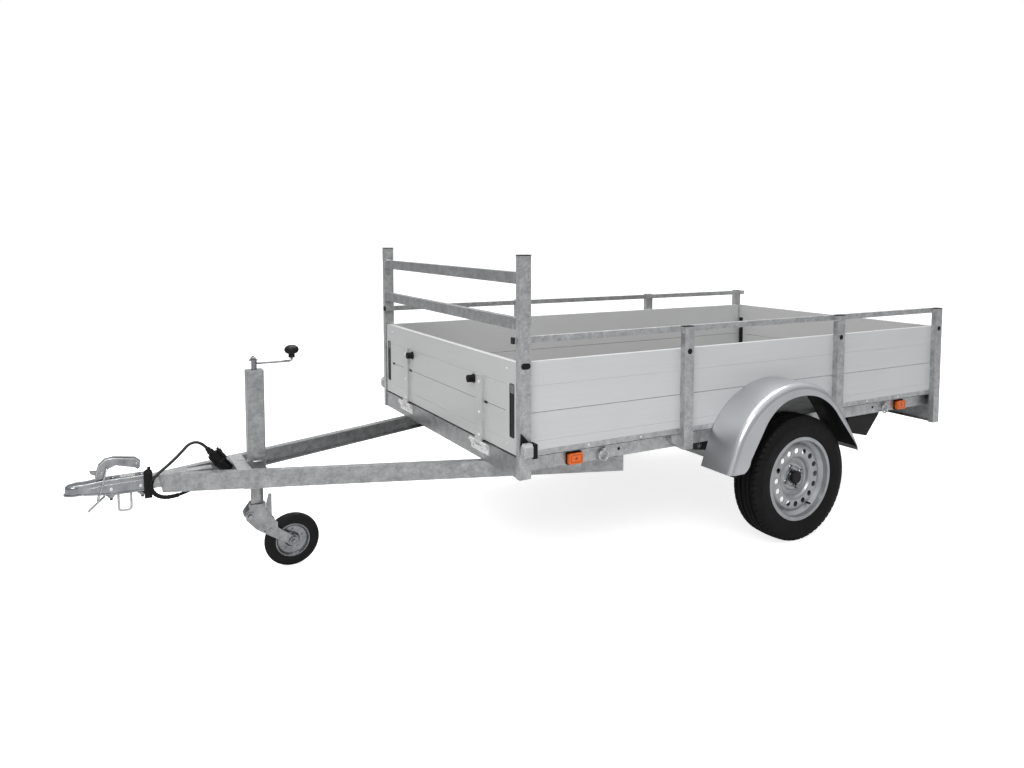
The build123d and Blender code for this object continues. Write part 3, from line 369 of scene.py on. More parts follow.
def satin_silver():
    """Silver moulded mudguard, slightly clouded."""
    recipe = Recipe("satin_silver", (0.44, 0.45, 0.465), 0.30, 0.75)
    recipe.mottle((5, 1, 0.5), (0.2, (0.42, 0.43, 0.445)), (0.8, (0.50, 0.51, 0.525)))
    return recipe.material


def wheel_paint():
    """Silver paint under a thin clear coat."""
    recipe = Recipe("wheel_paint", (0.34, 0.35, 0.36), 0.32, 0.6)
    recipe.mottle((24, 4, 0.6), (0.3, (0.30, 0.31, 0.32)), (0.7, (0.38, 0.39, 0.40)))
    recipe.wear((60, 3, 0.6), (0.3, 0.28), (0.7, 0.38))
    recipe.coat(0.25, 0.15)
    return recipe.material


def black_steel():
    """Black painted steel with lighter scuffs."""
    recipe = Recipe("black_steel", (0.012, 0.012, 0.013), 0.38)
    recipe.mottle((16, 5, 0.6), (0.35, (0.008, 0.008, 0.009)), (0.75, (0.03, 0.03, 0.031)))
    recipe.bump(recipe.noise(260, 3, 0.6), 0.0003, 0.35)
    return recipe.material


def plywood():
    """Film-faced plywood with a pressed mesh pattern, brown-black."""
    recipe = Recipe("plywood", (0.052, 0.038, 0.030), 0.42)
    recipe.mottle((3, 5, 0.6, (1.2, 14, 1)), (0.3, (0.040, 0.029, 0.023)), (0.75, (0.082, 0.062, 0.050)))
    mesh = recipe.cells(230, "DISTANCE_TO_EDGE", "Distance")
    recipe.bump(recipe.ramp(mesh, (0.0, 0.0), (0.25, 1.0)), 0.0005, 0.6)
    return recipe.material


def lens(name, colour, deep):
    """Lamp lens: small prisms over a reflector, deeper in colour between them."""
    recipe = Recipe(name, colour, 0.14)
    prisms = recipe.cells(260, "DISTANCE_TO_EDGE", "Distance")
    recipe.colour(recipe.ramp(prisms, (0.0, deep), (0.30, colour)))
    recipe.bump(prisms, 0.0010, 0.5)
    recipe.coat(0.35, 0.05)
    recipe.set("Specular IOR Level", 0.35)
    return recipe.material


def floor_white():
    """Pale floor. The glow that whitens it is seen by the camera alone."""
    recipe = Recipe("floor_white", (0.55, 0.55, 0.55), 0.7)
    recipe.mottle((0.6, 2, 0.5), (0.3, 0.54), (0.7, 0.56))
    recipe.set("Emission Color", (1, 1, 1, 1))
    seen = recipe.node("ShaderNodeLightPath").outputs["Is Camera Ray"]
    glow = recipe.node("ShaderNodeMath", {1: FLOOR_GLOW}, operation="MULTIPLY")
    recipe.link(seen, glow.inputs[0])
    recipe.link(glow.outputs["Value"], recipe.shader.inputs["Emission Strength"])
    return recipe.material


MATERIALS = {
    "galvanised": galvanised("galvanised", 1.0),
    # A darker copy of the galvanised finish, which paints shade onto parts that fall darker in the light
    "shaded_galvanised": galvanised("shaded_galvanised", 0.76),
    "zinc": zinc(),
    "side_boards": board_metal("side_boards", (3, 900, 900), (0.56, 0.57, 0.575)),
    "gate_boards": board_metal("gate_boards", (900, 3, 900), (0.50, 0.505, 0.505)),
    "silver_plastic": satin_silver(),
    "black_plastic": plastic("black_plastic", (0.006, 0.006, 0.0065), gloss=0.2),
    "rubber": rubber("rubber", (0.005, 0.005, 0.0055), 0.72, 0.2),
    "tyre": rubber("tyre", (0.004, 0.004, 0.0046), 0.60, 0.15),
    "silver_paint": wheel_paint(),
    "black_steel": black_steel(),
    "plywood": plywood(),
    "amber": lens("amber", (0.83, 0.185, 0.001), (0.60, 0.075, 0.001)),
    "deep_amber": lens("deep_amber", (0.42, 0.040, 0.001), (0.22, 0.015, 0.001)),
    "red_lens": lens("red_lens", (0.42, 0.008, 0.008), (0.20, 0.003, 0.003)),
    "clear_lens": lens("clear_lens", (0.50, 0.50, 0.50), (0.24, 0.24, 0.245)),
    "bright_zinc": cast_metal("bright_zinc", (0.34, 0.35, 0.36), (0.52, 0.525, 0.53), 0.30),
    "cast_blocks": cast_metal("cast_blocks", (0.66, 0.66, 0.655), (0.76, 0.76, 0.755), 0.30),
    "strap_metal": cast_metal("strap_metal", (0.50, 0.50, 0.495), (0.56, 0.56, 0.555), 0.40),
    "cable": plastic("cable", (0.010, 0.010, 0.011), 0.45, 600),
    "grey_plastic": plastic("grey_plastic", (0.16, 0.18, 0.17), 0.5),
}
FINISHED_NODES = {
    "side_boards": ("side_boards_left", "side_boards_right"),
    "gate_boards": ("front_gate_boards", "front_gate_ends", "rear_gate_boards", "rear_gate_ends"),
    # These parts take the darker galvanised copy: painted shade on the drawbar, rack bars, cross member, jack
    # and jockey bracket
    "shaded_galvanised": ("drawbar_left", "drawbar_right", "rack_bars", "front_cross_member",
                        "jack_tube", "jack_inner", "jockey_bracket"),
    "strap_metal": ("front_gate_straps", "rear_gate_straps"),
    "cast_blocks": ("front_gate_hinges", "rear_gate_hinges"),
    "bright_zinc": ("lashing_rings", "safety_loop", "coupling_bail"),
}
NODE_FINISH = {node: name for name, nodes in FINISHED_NODES.items() for node in nodes}


def finish(obj, name):
    """Give every face of a piece one material."""
    data = obj.data
    if not data.materials:
        data.materials.append(MATERIALS[name])
    for at in range(len(data.materials)):
        data.materials[at] = MATERIALS[name]


for part in frame["record"]["subparts"]:
    node = part["node"]
    finish(NODES[node], NODE_FINISH.get(node, part["material_slot"]))
finish(cable_line, "cable")
floor_sheet.data.materials.append(floor_white())


# ------ mesh forms
CORNER_STEPS = 5  # of every rounded corner of an outline
RIPPLE_PITCH, RIPPLE_HIGH = 0.0025, 0.16  # length of a weld's ripple, and its height in parts of the bead


class Form:
    """Vertices and faces gathered for one mesh."""

    def __init__(self):
        self.verts, self.faces = [], []

    def add(self, made, turn=Matrix()):
        """Add (verts, faces), placed by a matrix. A mirroring matrix turns the faces round."""
        verts, faces = made
        start = len(self.verts)
        mirrored = turn.determinant() < 0
        self.verts += [turn @ Vector(vert) for vert in verts]
        for face in faces:
            corners = tuple(start + at for at in face)
            self.faces.append(corners[::-1] if mirrored else corners)
        return self


def facing(place, normal):
    """Matrix that puts a form's Z axis along normal, at a place."""
    return move(place) @ Vector(normal).to_track_quat("Z", "Y").to_matrix().to_4x4()


def lift(height):
    return move((0, 0, height))


def turned(profile, sides=24):
    """Solid turned about Z from (radius, height) points that start and end on the axis."""
    verts, rings = [], []
    for radius, height in profile:
        start = len(verts)
        if radius == 0:
            verts.append((0, 0, height))
            rings.append([start])
        else:
            verts += [(radius * cos(2 * pi * k / sides), radius * sin(2 * pi * k / sides), height)
                      for k in range(sides)]
            rings.append(list(range(start, start + sides)))
    faces = []
    for low, high in zip(rings, rings[1:]):
        for k in range(sides):
            corners = (low[k % len(low)], low[(k + 1) % len(low)],
                       high[(k + 1) % len(high)], high[k % len(high)])
            faces.append(tuple(dict.fromkeys(corners)))
    return verts, faces


def bands(rows, sides):
    """Faces that join each closed row of vertices to the next row."""
    faces = []
    for row in range(rows - 1):
        low, high = row * sides, (row + 1) * sides
        for k in range(sides):
            following = (k + 1) % sides
            faces.append((low + k, low + following, high + following, high + k))
    return faces


def inset_outline(outline, by):
    """A counterclockwise outline moved inwards, corner by corner."""
    moved = []
    for at, corner in enumerate(outline):
        here = Vector(corner)
        before = here - Vector(outline[at - 1])
        after = Vector(outline[(at + 1) % len(outline)]) - here
        left_a = Vector((-before.y, before.x)).normalized()
        left_b = Vector((-after.y, after.x)).normalized()
        moved.append(here + (left_a + left_b) * (by / (1 + left_a.dot(left_b))))
    return moved


def plate(outline, thick, bevel=0.0006):
    """Flat piece on a counterclockwise outline, from z 0 to thick, with bevelled edges."""
    small = inset_outline(outline, bevel)
    layers = ((small, 0), (outline, bevel), (outline, thick - bevel), (small, thick))
    verts = [(point[0], point[1], height) for ring, height in layers for point in ring]
    count = len(outline)
    caps = [tuple(range(count))[::-1], tuple(range(3 * count, 4 * count))]
    return verts, caps + bands(4, count)


def rounded(wide, high, radius):
    """Counterclockwise outline of a rectangle with rounded corners."""
    points = []
    for corner, (to_x, to_y) in enumerate(((1, 1), (-1, 1), (-1, -1), (1, -1))):
        for step in range(CORNER_STEPS + 1):
            angle = (corner + step / CORNER_STEPS) * pi / 2
            points.append((to_x * (wide / 2 - radius) + radius * cos(angle),
                           to_y * (high / 2 - radius) + radius * sin(angle)))
    return points


def hexagon(across):
    """Counterclockwise outline of a hexagon, from its width across the flats."""
    reach = across / 2 / cos(pi / 6)
    return [(reach * cos(pi / 3 * k), reach * sin(pi / 3 * k)) for k in range(6)]


def tube(path, radius, sides=8):
    """Round bar along a path. radius is one value, or a function of the step."""
    path = [Vector(point) for point in path]
    verts = []
    across = Vector((0, 0, 1)) if abs((path[1] - path[0]).normalized().z) < 0.9 else Vector((1, 0, 0))
    for at, point in enumerate(path):
        along = (path[min(at + 1, len(path) - 1)] - path[max(at - 1, 0)]).normalized()
        across = (across - along * across.dot(along)).normalized()
        other = along.cross(across)
        size = radius(at) if callable(radius) else radius
        verts += [point + (across * cos(2 * pi * k / sides) + other * sin(2 * pi * k / sides)) * size
                  for k in range(sides)]
    caps = [tuple(range(sides))[::-1], tuple(range(len(verts) - sides, len(verts)))]
    return verts, bands(len(path), sides) + caps


def hoop(middle, across, outline, size):
    """Thin round bar along a closed outline that stands upright, its width along the axis across."""
    edge = [Vector(middle) + across * wide + Vector((0, 0, high)) for wide, high in outline]
    return tube(edge + edge[:2], size)


def weld(start, end, size):
    """Bead of small overlapping ripples between two points."""
    start, end = Vector(start), Vector(end)
    count = max(4, int((end - start).length / RIPPLE_PITCH * 2))
    path = [start.lerp(end, k / count) for k in range(count + 1)]
    return tube(path, lambda at: size * (0.5 if at in (0, count) else 1.0 + RIPPLE_HIGH * (at % 2)))


def circle(radius, steps):
    """Closed path round Z."""
    return [Vector((cos(2 * pi * k / steps), sin(2 * pi * k / steps), 0)) * radius for k in range(steps + 1)]


def weld_ring(centre, radius, size):
    """Rippled bead around a vertical tube."""
    path = [Vector(centre) + point for point in circle(radius, 96)]
    return tube(path, lambda at: size * (1.0 + RIPPLE_HIGH * (at % 2)))


def ring(radius, size):
    """Thin round bar bent to a circle about Z."""
    return tube(circle(radius, 64), size)


def dome(radius, high):
    """Head of a rivet or a pressed-in plug."""
    return turned(((0, -0.001), (radius, -0.001), (radius, high * 0.2), (radius * 0.86, high * 0.62),
                   (radius * 0.5, high * 0.93), (0, high)))


def bolt_head(across, thread=0.0):
    """Hexagon head or nut on a washer, with an end of thread when it is a nut."""
    form = Form()
    washer = across * 0.12
    form.add(turned(((0, -0.001), (across * 0.95, -0.001), (across * 0.95, washer), (0, washer))))
    form.add(plate(hexagon(across), across * 0.5, across * 0.06), lift(washer))
    if thread:
        top = washer + across * 0.5
        ridges = [(0, top - 0.001)]
        turns = max(2, int(thread / 0.0015))
        for k in range(turns):
            ridges += [(across * 0.27, top + thread * k / turns),
                       (across * 0.31, top + thread * (k + 0.5) / turns)]
        ridges += [(across * 0.25, top + thread), (0, top + thread)]
        form.add(turned(ridges, 16))
    return form.verts, form.faces


TREES = {}
OFF_EDGES = Vector((0.00013, 0.00017, 0.00011))  # keeps a ray off the edges between faces
BESIDE = 1.0  # |y| of a start outside the whole trailer


def touch(node, start, direction):
    """Matrix on the point where a ray first meets a CAD node, facing out of its surface."""
    if node not in TREES:
        data = NODES[node].data
        TREES[node] = BVHTree.FromPolygons([vert.co for vert in data.vertices],
                                           [face.vertices for face in data.polygons])
    place, normal, _, _ = TREES[node].ray_cast(Vector(start) + OFF_EDGES, Vector(direction))
    if place is None:
        raise ValueError(f"no surface of {node} at {start}")
    if normal.dot(Vector(direction)) > 0:
        normal = -normal
    return facing(place, normal)


def side_touch(node, side, x, z):
    """Matrix on the point where a level ray from one side of the trailer first meets a CAD node."""
    return touch(node, (x, side * BESIDE, z), (0, -side, 0))


def piece(name, form, finish_name, body="chassis", replaced=(), sharp=32):
    """Make one object of a form, riding on a body, with the finish's material in every slot."""
    data = bpy.data.meshes.new(name)
    data.from_pydata(form.verts, [], form.faces)
    data.validate()
    data.shade_smooth()
    data.set_sharp_from_angle(angle=radians(sharp))
    made = new_object(name, data)
    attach(made, body)
    if replaced:
        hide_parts(*replaced)
    finish(made, finish_name)
    return made


def studs(name, node, stud, places, finish_name, body="chassis"):
    """Piece of equal studs on both sides of a CAD node, at (x, z) places."""
    form = Form()
    for side in SIDES:
        for x, z in places:
            form.add(stud, side_touch(node, side, x, z))
    piece(name, form, finish_name, body)


# ------ tyres
TYRE_AROUND = 720
TREAD_GROOVES = (0.0145, 0.041)  # middles of the grooves that run round one half
GROOVE_HALF, GROOVE_DEEP = 0.0040, 0.0065
TYRE_R, CROWN_DROP, SHOULDER_AT = 0.29375, 0.00375, 0.062
SIDEWALL_TOP, BEAD_R = (0.080, 0.242), 0.196
SHOULDER_PITCH = 12  # steps round the tyre from one block to the next
SLOT_DEEP = 0.0045


def arc_points(start, middle, end, count):
    """Points on the arc through three points, without its start."""
    a, b, c = (complex(*point) for point in (start, middle, end))
    w = (c - a) / (b - a)
    centre = (b - a) * (w - abs(w) ** 2) / (2j * w.imag) + a
    radius = abs(a - centre)
    first = atan2((a - centre).imag, (a - centre).real)
    sweep = atan2((c - centre).imag, (c - centre).real) - first
    turn = (b - a).real * (c - b).imag - (b - a).imag * (c - b).real
    if turn > 0 and sweep < 0:
        sweep += 2 * pi
    if turn < 0 and sweep > 0:
        sweep -= 2 * pi
    angles = [first + sweep * k / count for k in range(1, count + 1)]
    return [(centre.real + radius * cos(angle), centre.imag + radius * sin(angle)) for angle in angles]


def crown(offset):
    """Radius of the tread at an offset from the tyre's middle plane."""
    return TYRE_R - CROWN_DROP * (offset / SHOULDER_AT) ** 2


def tread_rows():
    """Half the tyre's section as (offset, radius, sunk all round, sunk at the block slots), crown to bead."""
    rows = [(0.0, crown(0.0), 0.0, 0.0), (0.005, crown(0.005), 0.0, 0.0)]
    for middle in TREAD_GROOVES:
        for step, deep in ((-1.25, 0), (-1, GROOVE_DEEP), (1, GROOVE_DEEP), (1.25, 0)):
            offset = middle + step * GROOVE_HALF
            rows.append((offset, crown(offset), deep, 0.0))
        rows.append((middle + 0.0095, crown(middle + 0.0095), 0.0, 0.002))
    rows.append((0.053, crown(0.053), 0.0, SLOT_DEEP))
    edge = (SHOULDER_AT, crown(SHOULDER_AT))
    rows.append((*edge, 0.0, SLOT_DEEP))
    shoulder = arc_points(edge, (0.074, 0.274), SIDEWALL_TOP, 8)
    for at, (offset, radius) in enumerate(shoulder):
        fade = (0.9, 0.7, 0.3, 0, 0, 0, 0, 0)[at]
        rows.append((offset, radius, 0.0016 if at == 4 else 0.0, SLOT_DEEP * fade))
    side = arc_points(SIDEWALL_TOP, (0.078, 0.218), (0.071, 0.197), 7)
    for at, (offset, radius) in enumerate(side):
        rows.append((offset, radius, 0.0014 if at in (1, 4) else 0.0, 0.0))
    rows += [(0.064, 0.196, 0, 0), (0.064, 0.183, 0, 0), (0.050, 0.183, 0, 0), (0.064, 0.205, 0, 0),
             (0.0675, 0.222, 0, 0), (0.066, 0.245, 0, 0), (0.060, 0.264, 0, 0), (0.050, 0.280, 0, 0)]
    return rows


def tyre_form():
    """Tyre about Z: grooved tread, shoulder blocks, ringed sidewalls, and a hollow inside."""
    half = tread_rows()
    rows = half + [(-offset, radius, sunk, slot) for offset, radius, sunk, slot in half[:0:-1]]
    verts = []
    for offset, radius, sunk, slot in rows:
        side = 1 if offset > 0 else -1
        outward = Vector((offset - side * 0.030, radius - 0.215)).normalized()
        if radius <= BEAD_R:
            outward = Vector((0, 1))
        for k in range(TYRE_AROUND):
            lean = int(round(abs(offset) * 180)) + (SHOULDER_PITCH // 2 if side > 0 else 0)
            in_slot = (k + lean) % SHOULDER_PITCH in (0, 1)
            deep = max(sunk, slot if in_slot else 0.0)
            reach = radius - deep * outward.y
            angle = 2 * pi * k / TYRE_AROUND
            verts.append((reach * cos(angle), reach * sin(angle), offset - deep * outward.x))
    faces = bands(len(rows) + 1, TYRE_AROUND)
    return verts, [tuple(at % len(verts) for at in face[::-1]) for face in faces]


def wheel_frame(side):
    """Matrix of a wheel's middle: Z outward, X to the rear."""
    turn = Matrix(((1, 0, 0), (0, 0, side), (0, -side, 0))).to_4x4()
    return move((WHEEL.x, side * WHEEL.y, WHEEL.z)) @ turn


def side_name(side):
    return "left" if side < 0 else "right"


# ------ wheel fittings
BOLT_CIRCLE_R, BOLT_FIRST = 0.050, radians(20)
LUG_SEAT = 0.0235  # of the wheel bolts, outward from the wheel's middle plane
LUG_PROFILE = ((0, -0.003), (0.0115, -0.003), (0.0125, 0.001), (0.0105, 0.004), (0, 0.004))
LUG_END_PROFILE = ((0, 0.014), (0.0055, 0.014), (0.0045, 0.0160), (0, 0.0160))
LUG_ACROSS, LUG_HIGH, LUG_FOOT = 0.017, 0.011, 0.0035
CAP_PROFILE = ((0, 0.030), (0.0295, 0.030), (0.0300, 0.033), (0.0292, 0.046), (0.0265, 0.0485),
               (0.0240, 0.0480), (0.0225, 0.0494), (0, 0.0502))
VALVE_R, VALVE_ANGLE, VALVE_SEAT = 0.152, radians(300), 0.030
VALVE_PROFILE = ((0, 0), (0.0055, 0), (0.0050, 0.016), (0.0042, 0.018), (0.0046, 0.020), (0.0046, 0.030),
                 (0.0036, 0.032), (0, 0.032))


def on_circle(radius, angle, height):
    """Matrix to a point at an angle on a circle about Z."""
    return move((radius * cos(angle), radius * sin(angle), height))


for side in SIDES:
    name = side_name(side)
    body = f"wheel_{name}"
    wheel = wheel_frame(side)
    tyre = Form().add(tyre_form(), wheel)
    piece(f"tyre_tread_{name}", tyre, "tyre", body=body, replaced=(f"tyre_{name}",), sharp=40)
    lugs = Form()
    for k in range(4):
        seat = wheel @ on_circle(BOLT_CIRCLE_R, BOLT_FIRST + k * pi / 2, LUG_SEAT)
        lugs.add(turned(LUG_PROFILE), seat)
        lugs.add(plate(hexagon(LUG_ACROSS), LUG_HIGH, 0.0012), seat @ lift(LUG_FOOT))
        lugs.add(turned(LUG_END_PROFILE), seat)
    piece(f"wheel_bolts_{name}", lugs, "zinc", body=body)
    piece(f"centre_cap_{name}", Form().add(turned(CAP_PROFILE, 48), wheel), "black_plastic", body=body)
    stem = Form().add(turned(VALVE_PROFILE, 16), wheel @ on_circle(VALVE_R, VALVE_ANGLE, VALVE_SEAT))
    piece(f"valve_{name}", stem, "rubber", body=body)

# ------ mudguard linings
GUARD_FLAP = ((0.366, 0.388), (0.411, 0.507))  # the flap's foot and top as (x, z)
GUARD_ENDS = ((0.500, 0.640), (0.700, 0.744), (0.880, 0.737), (1.040, 0.632), (1.194, 0.408))
GUARD_IN, GUARD_OUT = 0.777, 0.970
LINING_FLAT = 0.880  # |y| of a point on the lining's flat part
LINING_GAP = 0.0052  # from the guard's outside to the lining's middle
LINING_R = 0.0228
LINING_THICK = 0.0008
SKIRT_DEEP, SKIRT_LOSS = 0.042, 0.030  # depth of the skirt, and how much of it fades at the rear
FADE_X, FADE_LONG = 1.00, 0.17


def tangent_arc(start, heading, end, count):
    """Points of an arc that leaves start along heading and ends at end, and the heading there."""
    chord = end - start
    direction = atan2(chord.y, chord.x)
    lean = atan2(heading.y, heading.x) - direction
    points = []
    for k in range(1, count + 1):
        part = lean * k / count
        reach = chord.length * sin(part) / sin(lean)
        points.append(start + reach * Vector((cos(direction + lean - part), sin(direction + lean - part))))
    return points, Vector((cos(direction - lean), sin(direction - lean)))


def guard_line():
    """The mudguard's side outline as (x, z) points, from the flap's foot over the wheel to the rear."""
    foot, top = (Vector(point) for point in GUARD_FLAP)
    line = [foot.lerp(top, k / 4) for k in range(5)]
    heading = (top - foot).normalized()
    for end in GUARD_ENDS:
        points, heading = tangent_arc(line[-1], heading, Vector(end), 8)
        line += points
    return line


def lining_form(side):
    """Thin black lining under the mudguard's skin, rounded over to its outer skirt."""
    line = guard_line()
    corner_out = GUARD_OUT - LINING_GAP - LINING_R
    corner_in = LINING_GAP + LINING_R
    rows = []
    for at, point in enumerate(line):
        along = (line[min(at + 1, len(line) - 1)] - line[max(at - 1, 0)]).normalized()
        inward = Vector((along.y, -along.x))
        deepest = SKIRT_DEEP - SKIRT_LOSS * max(0.0, min(1.0, (point.x - FADE_X) / FADE_LONG))
        last = pi / 2 if deepest > corner_in else acos((corner_in - deepest) / LINING_R)
        section = [(GUARD_IN + 0.001, LINING_GAP), (LINING_FLAT, LINING_GAP)]
        for k in range(9):
            angle = last * k / 8
            section.append((corner_out + LINING_R * sin(angle), corner_in - LINING_R * cos(angle)))
        if deepest > corner_in:
            section.append((section[-1][0], deepest))
        else:
            section.append((section[-1][0] + 0.0002, section[-1][1] + 0.0004))
        rows.append([(point + inward * deep, reach) for reach, deep in section])
    verts = [(flat.x, side * reach, flat.y) for row in rows for flat, reach in row]
    wide = len(rows[0])
    faces = []
    for row in range(len(rows) - 1):
        for k in range(wide - 1):
            low, high = row * wide + k, (row + 1) * wide + k
            faces.append((low, high, high + 1, low + 1))
    return Form().add((verts, faces))


for side in SIDES:
    lining = piece(f"mudguard_lining_{side_name(side)}", lining_form(side), "black_plastic")
    skin = lining.modifiers.new("thickness", "SOLIDIFY")
    skin.thickness = LINING_THICK
    skin.offset = 0

# ------ gates
GATE_INSET = 0.007  # from the box's front or rear in to the boards
STRAP_OUT = 0.005  # from the box's front or rear out to the straps' faces
STRAP_RIVET_ZS = (0.800, 0.672, 0.575)
BOARD_RIVET_Y, BOARD_RIVET_ZS = 0.682, (0.889, 0.590)
PLUG_YS = (0.398, -0.494, 0.655)
SLOT_MIDDLE_Y, SLOT_LOW, SLOT_HIGH, SLOT_WIDE = 0.728, 0.624, 0.835, 0.038
LATCH_SUNK = 0.0035  # from the boards in to the liner and the pull
LATCH_WIDE, LATCH_THICK = SLOT_WIDE - 0.0005, 0.0030
PULL_HIGH = 0.038
LINER_HIGH = SLOT_HIGH - SLOT_LOW - PULL_HIGH
GRIP_Z, GRIP_HALF = SLOT_HIGH - 0.022, Vector((0, 0.009, 0))


def gate_details(body, face, out):
    """Rivets, plugs, latch frames and pulls on a gate. out is -1 at the front and 1 at the rear."""
    outer = face - out * GATE_INSET
    latch_face = outer - out * LATCH_SUNK
    outward = (out, 0, 0)
    rivets = Form()
    for side in SIDES:
        for z in STRAP_RIVET_ZS:
            rivets.add(dome(0.0075, 0.0035), facing((face + out * STRAP_OUT, side * STRAP_Y, z), outward))
        for z in BOARD_RIVET_ZS:
            rivets.add(dome(0.0060, 0.0030), facing((outer, side * BOARD_RIVET_Y, z), outward))
    # The rivets take the light cast_blocks finish: bright metal, and with it a painted glint on their domes
    piece(f"{body}_rivets", rivets, "cast_blocks", body)

    plugs = Form()
    for y in PLUG_YS:
        plugs.add(plate(rounded(0.026, 0.010, 0.003), 0.0030, 0.0010),
                  facing((outer, y, PLANK_JOINT), outward))
    piece(f"{body}_plugs", plugs, "black_plastic", body=body)

    frames, pulls = Form(), Form()
    for side in SIDES:
        y = side * SLOT_MIDDLE_Y
        slot = rounded(SLOT_WIDE, SLOT_HIGH - SLOT_LOW, 0.006)
        frames.add(hoop((outer, y, (SLOT_LOW + SLOT_HIGH) / 2), AXIS_Y, slot, 0.0014))
        frames.add(plate(rounded(LATCH_WIDE, LINER_HIGH, 0.002), LATCH_THICK, 0.0006),
                   facing((latch_face, y, SLOT_LOW + LINER_HIGH / 2), outward))
        pulls.add(plate(rounded(LATCH_WIDE, PULL_HIGH, 0.003), LATCH_THICK, 0.0008),
                  facing((latch_face, y, SLOT_HIGH - PULL_HIGH / 2), outward))
        for up in (-0.006, 0, 0.006):
            grip = Vector((latch_face + out * 0.0028, y, GRIP_Z + up))
            pulls.add(tube([grip - GRIP_HALF, grip + GRIP_HALF], 0.0012))
    piece(f"{body}_latch_frames", frames, "black_plastic", body=body)
    piece(f"{body}_latch_pulls", pulls, "grey_plastic", body)


gate_details("front_gate", FRONT, -1)
gate_details("rear_gate", REAR, 1)

# The screws of the hinge leaves stay on the cross members
HINGE_LEAF_Z = 0.517
HINGE_SCREW_STEPS = (-0.066, -0.022, 0.022, 0.066)  # along Y, from the middle of a leaf
hinge_screws = Form()
for face, out, node in (FRONT, -1, "front_gate_hinges"), (REAR, 1, "rear_gate_hinges"):
    for side in SIDES:
        for step in HINGE_SCREW_STEPS:
            start = (face + out * 0.2, side * STRAP_Y + step, HINGE_LEAF_Z)
            hinge_screws.add(dome(0.0065, 0.0035), touch(node, start, (-out, 0, 0)))
piece("hinge_screws", hinge_screws, "cast_blocks")

BUFFER_Y, BUFFER_Z = 0.373, 0.803
BUFFER_PROFILE = ((0, -0.001), (0.0195, -0.001), (0.0200, 0.003), (0.0165, 0.006), (0.0162, 0.010),
                  (0, 0.010))
buffer_rings = Form()
for side in SIDES:
    seat = move((FRONT + GATE_INSET, side * BUFFER_Y, BUFFER_Z))
    buffer_rings.add(turned(BUFFER_PROFILE, 32), seat @ Matrix.Rotation(-pi / 2, 4, "Y"))
piece("buffer_rings", buffer_rings, "rubber", body="front_gate")

# ------ posts, rails and side boards
FRONT_POST_X = -0.533
POST_XS = (0.272, 1.234, 2.015)  # of the other posts
PLUG_Z = 0.913
RAIL_RIVETS = [(x, 0.561) for x in (-0.226, 0.036, 1.478, 1.727)]
RAIL_HOLES = [(x, 0.516) for x in (-0.058, 1.560)]
post_plugs = Form()
for side in SIDES:
    outward = (0, side, 0)
    post_plugs.add(plate(rounded(0.040, 0.024, 0.0118), 0.0035, 0.0015),
                   facing((FRONT_POST_X, side * HALF_WIDTH, PLUG_Z), outward) @ lift(-0.0005))
    for x in POST_XS:
        post_plugs.add(dome(0.0125, 0.0042), facing((x, side * HALF_WIDTH, PLUG_Z), outward))
piece("post_plugs", post_plugs, "black_plastic")
# The rail rivets take the light cast_blocks finish: bright metal, and with it a painted glint on their domes
studs("rail_rivets", "side_rails", dome(0.0050, 0.0026), RAIL_RIVETS, "cast_blocks")
studs("rail_grommets", "side_rails", dome(0.0070, 0.0008), RAIL_HOLES, "rubber")

# Beads where the rack's bars and the top rails meet the posts
RACK_BAR_ZS = ((1.051, 1.091), (1.232, 1.272))  # lower and upper edge of each bar
RACK_WELD_XS, RACK_WELD_Y = (-0.553, -0.527), 0.7755
TOP_WELD_YS, TOP_WELD_Z, TOP_WELD_STEP = (0.779, 0.801), 0.9965, 0.0255
post_welds = Form()
for edges in RACK_BAR_ZS:
    for side in SIDES:
        for z in edges:
            post_welds.add(weld(*((x, side * RACK_WELD_Y, z) for x in RACK_WELD_XS), 0.0028))
for side in SIDES:
    for x in POST_XS[:2]:
        for step in (-TOP_WELD_STEP, TOP_WELD_STEP):
            post_welds.add(weld(*((x + step, side * y, TOP_WELD_Z) for y in TOP_WELD_YS), 0.0026))
piece("post_welds", post_welds, "galvanised")

# Painted shadow: a thin dark tube under each side's board rail, where it overhangs the rail's web, stands in
# for the shade there
SHADOW_LINE_SPANS, SHADOW_LINE_Y, SHADOW_LINE_Z = ((-0.509, 0.199), (0.296, 1.209), (1.261, 1.989)), 0.7738, 0.5487
rail_shadow_lines = Form()
for side in SIDES:
    for span in SHADOW_LINE_SPANS:
        rail_shadow_lines.add(tube([(x, side * SHADOW_LINE_Y, SHADOW_LINE_Z) for x in span], 0.0016))
piece("rail_shadow_lines", rail_shadow_lines, "rubber")

# ------ lamps
MARKER_XS, MARKER_Z = (-0.282, 1.768), 0.511
MARKER_BASE_Y, MARKER_RIM_Y, MARKER_DOME_Y = 0.7452, 0.7690, 0.7688
lamp_bases, lamp_rims = Form(), Form()
for side in SIDES:
    outward = (0, side, 0)
    for x in MARKER_XS:
        lamp_bases.add(plate(rounded(0.074, 0.052, 0.008), 0.0065, 0.0012),
                       facing((x, side * MARKER_BASE_Y, MARKER_Z), outward))
        lamp_rims.add(hoop((x, side * MARKER_RIM_Y, MARKER_Z), AXIS_X, rounded(0.050, 0.029, 0.004), 0.0011))
        lamp_rims.add(dome(0.0062, 0.0016), facing((x, side * MARKER_DOME_Y, MARKER_Z), outward))
piece("side_lamp_bases", lamp_bases, "black_plastic")
piece("side_lamp_rims", lamp_rims, "deep_amber")

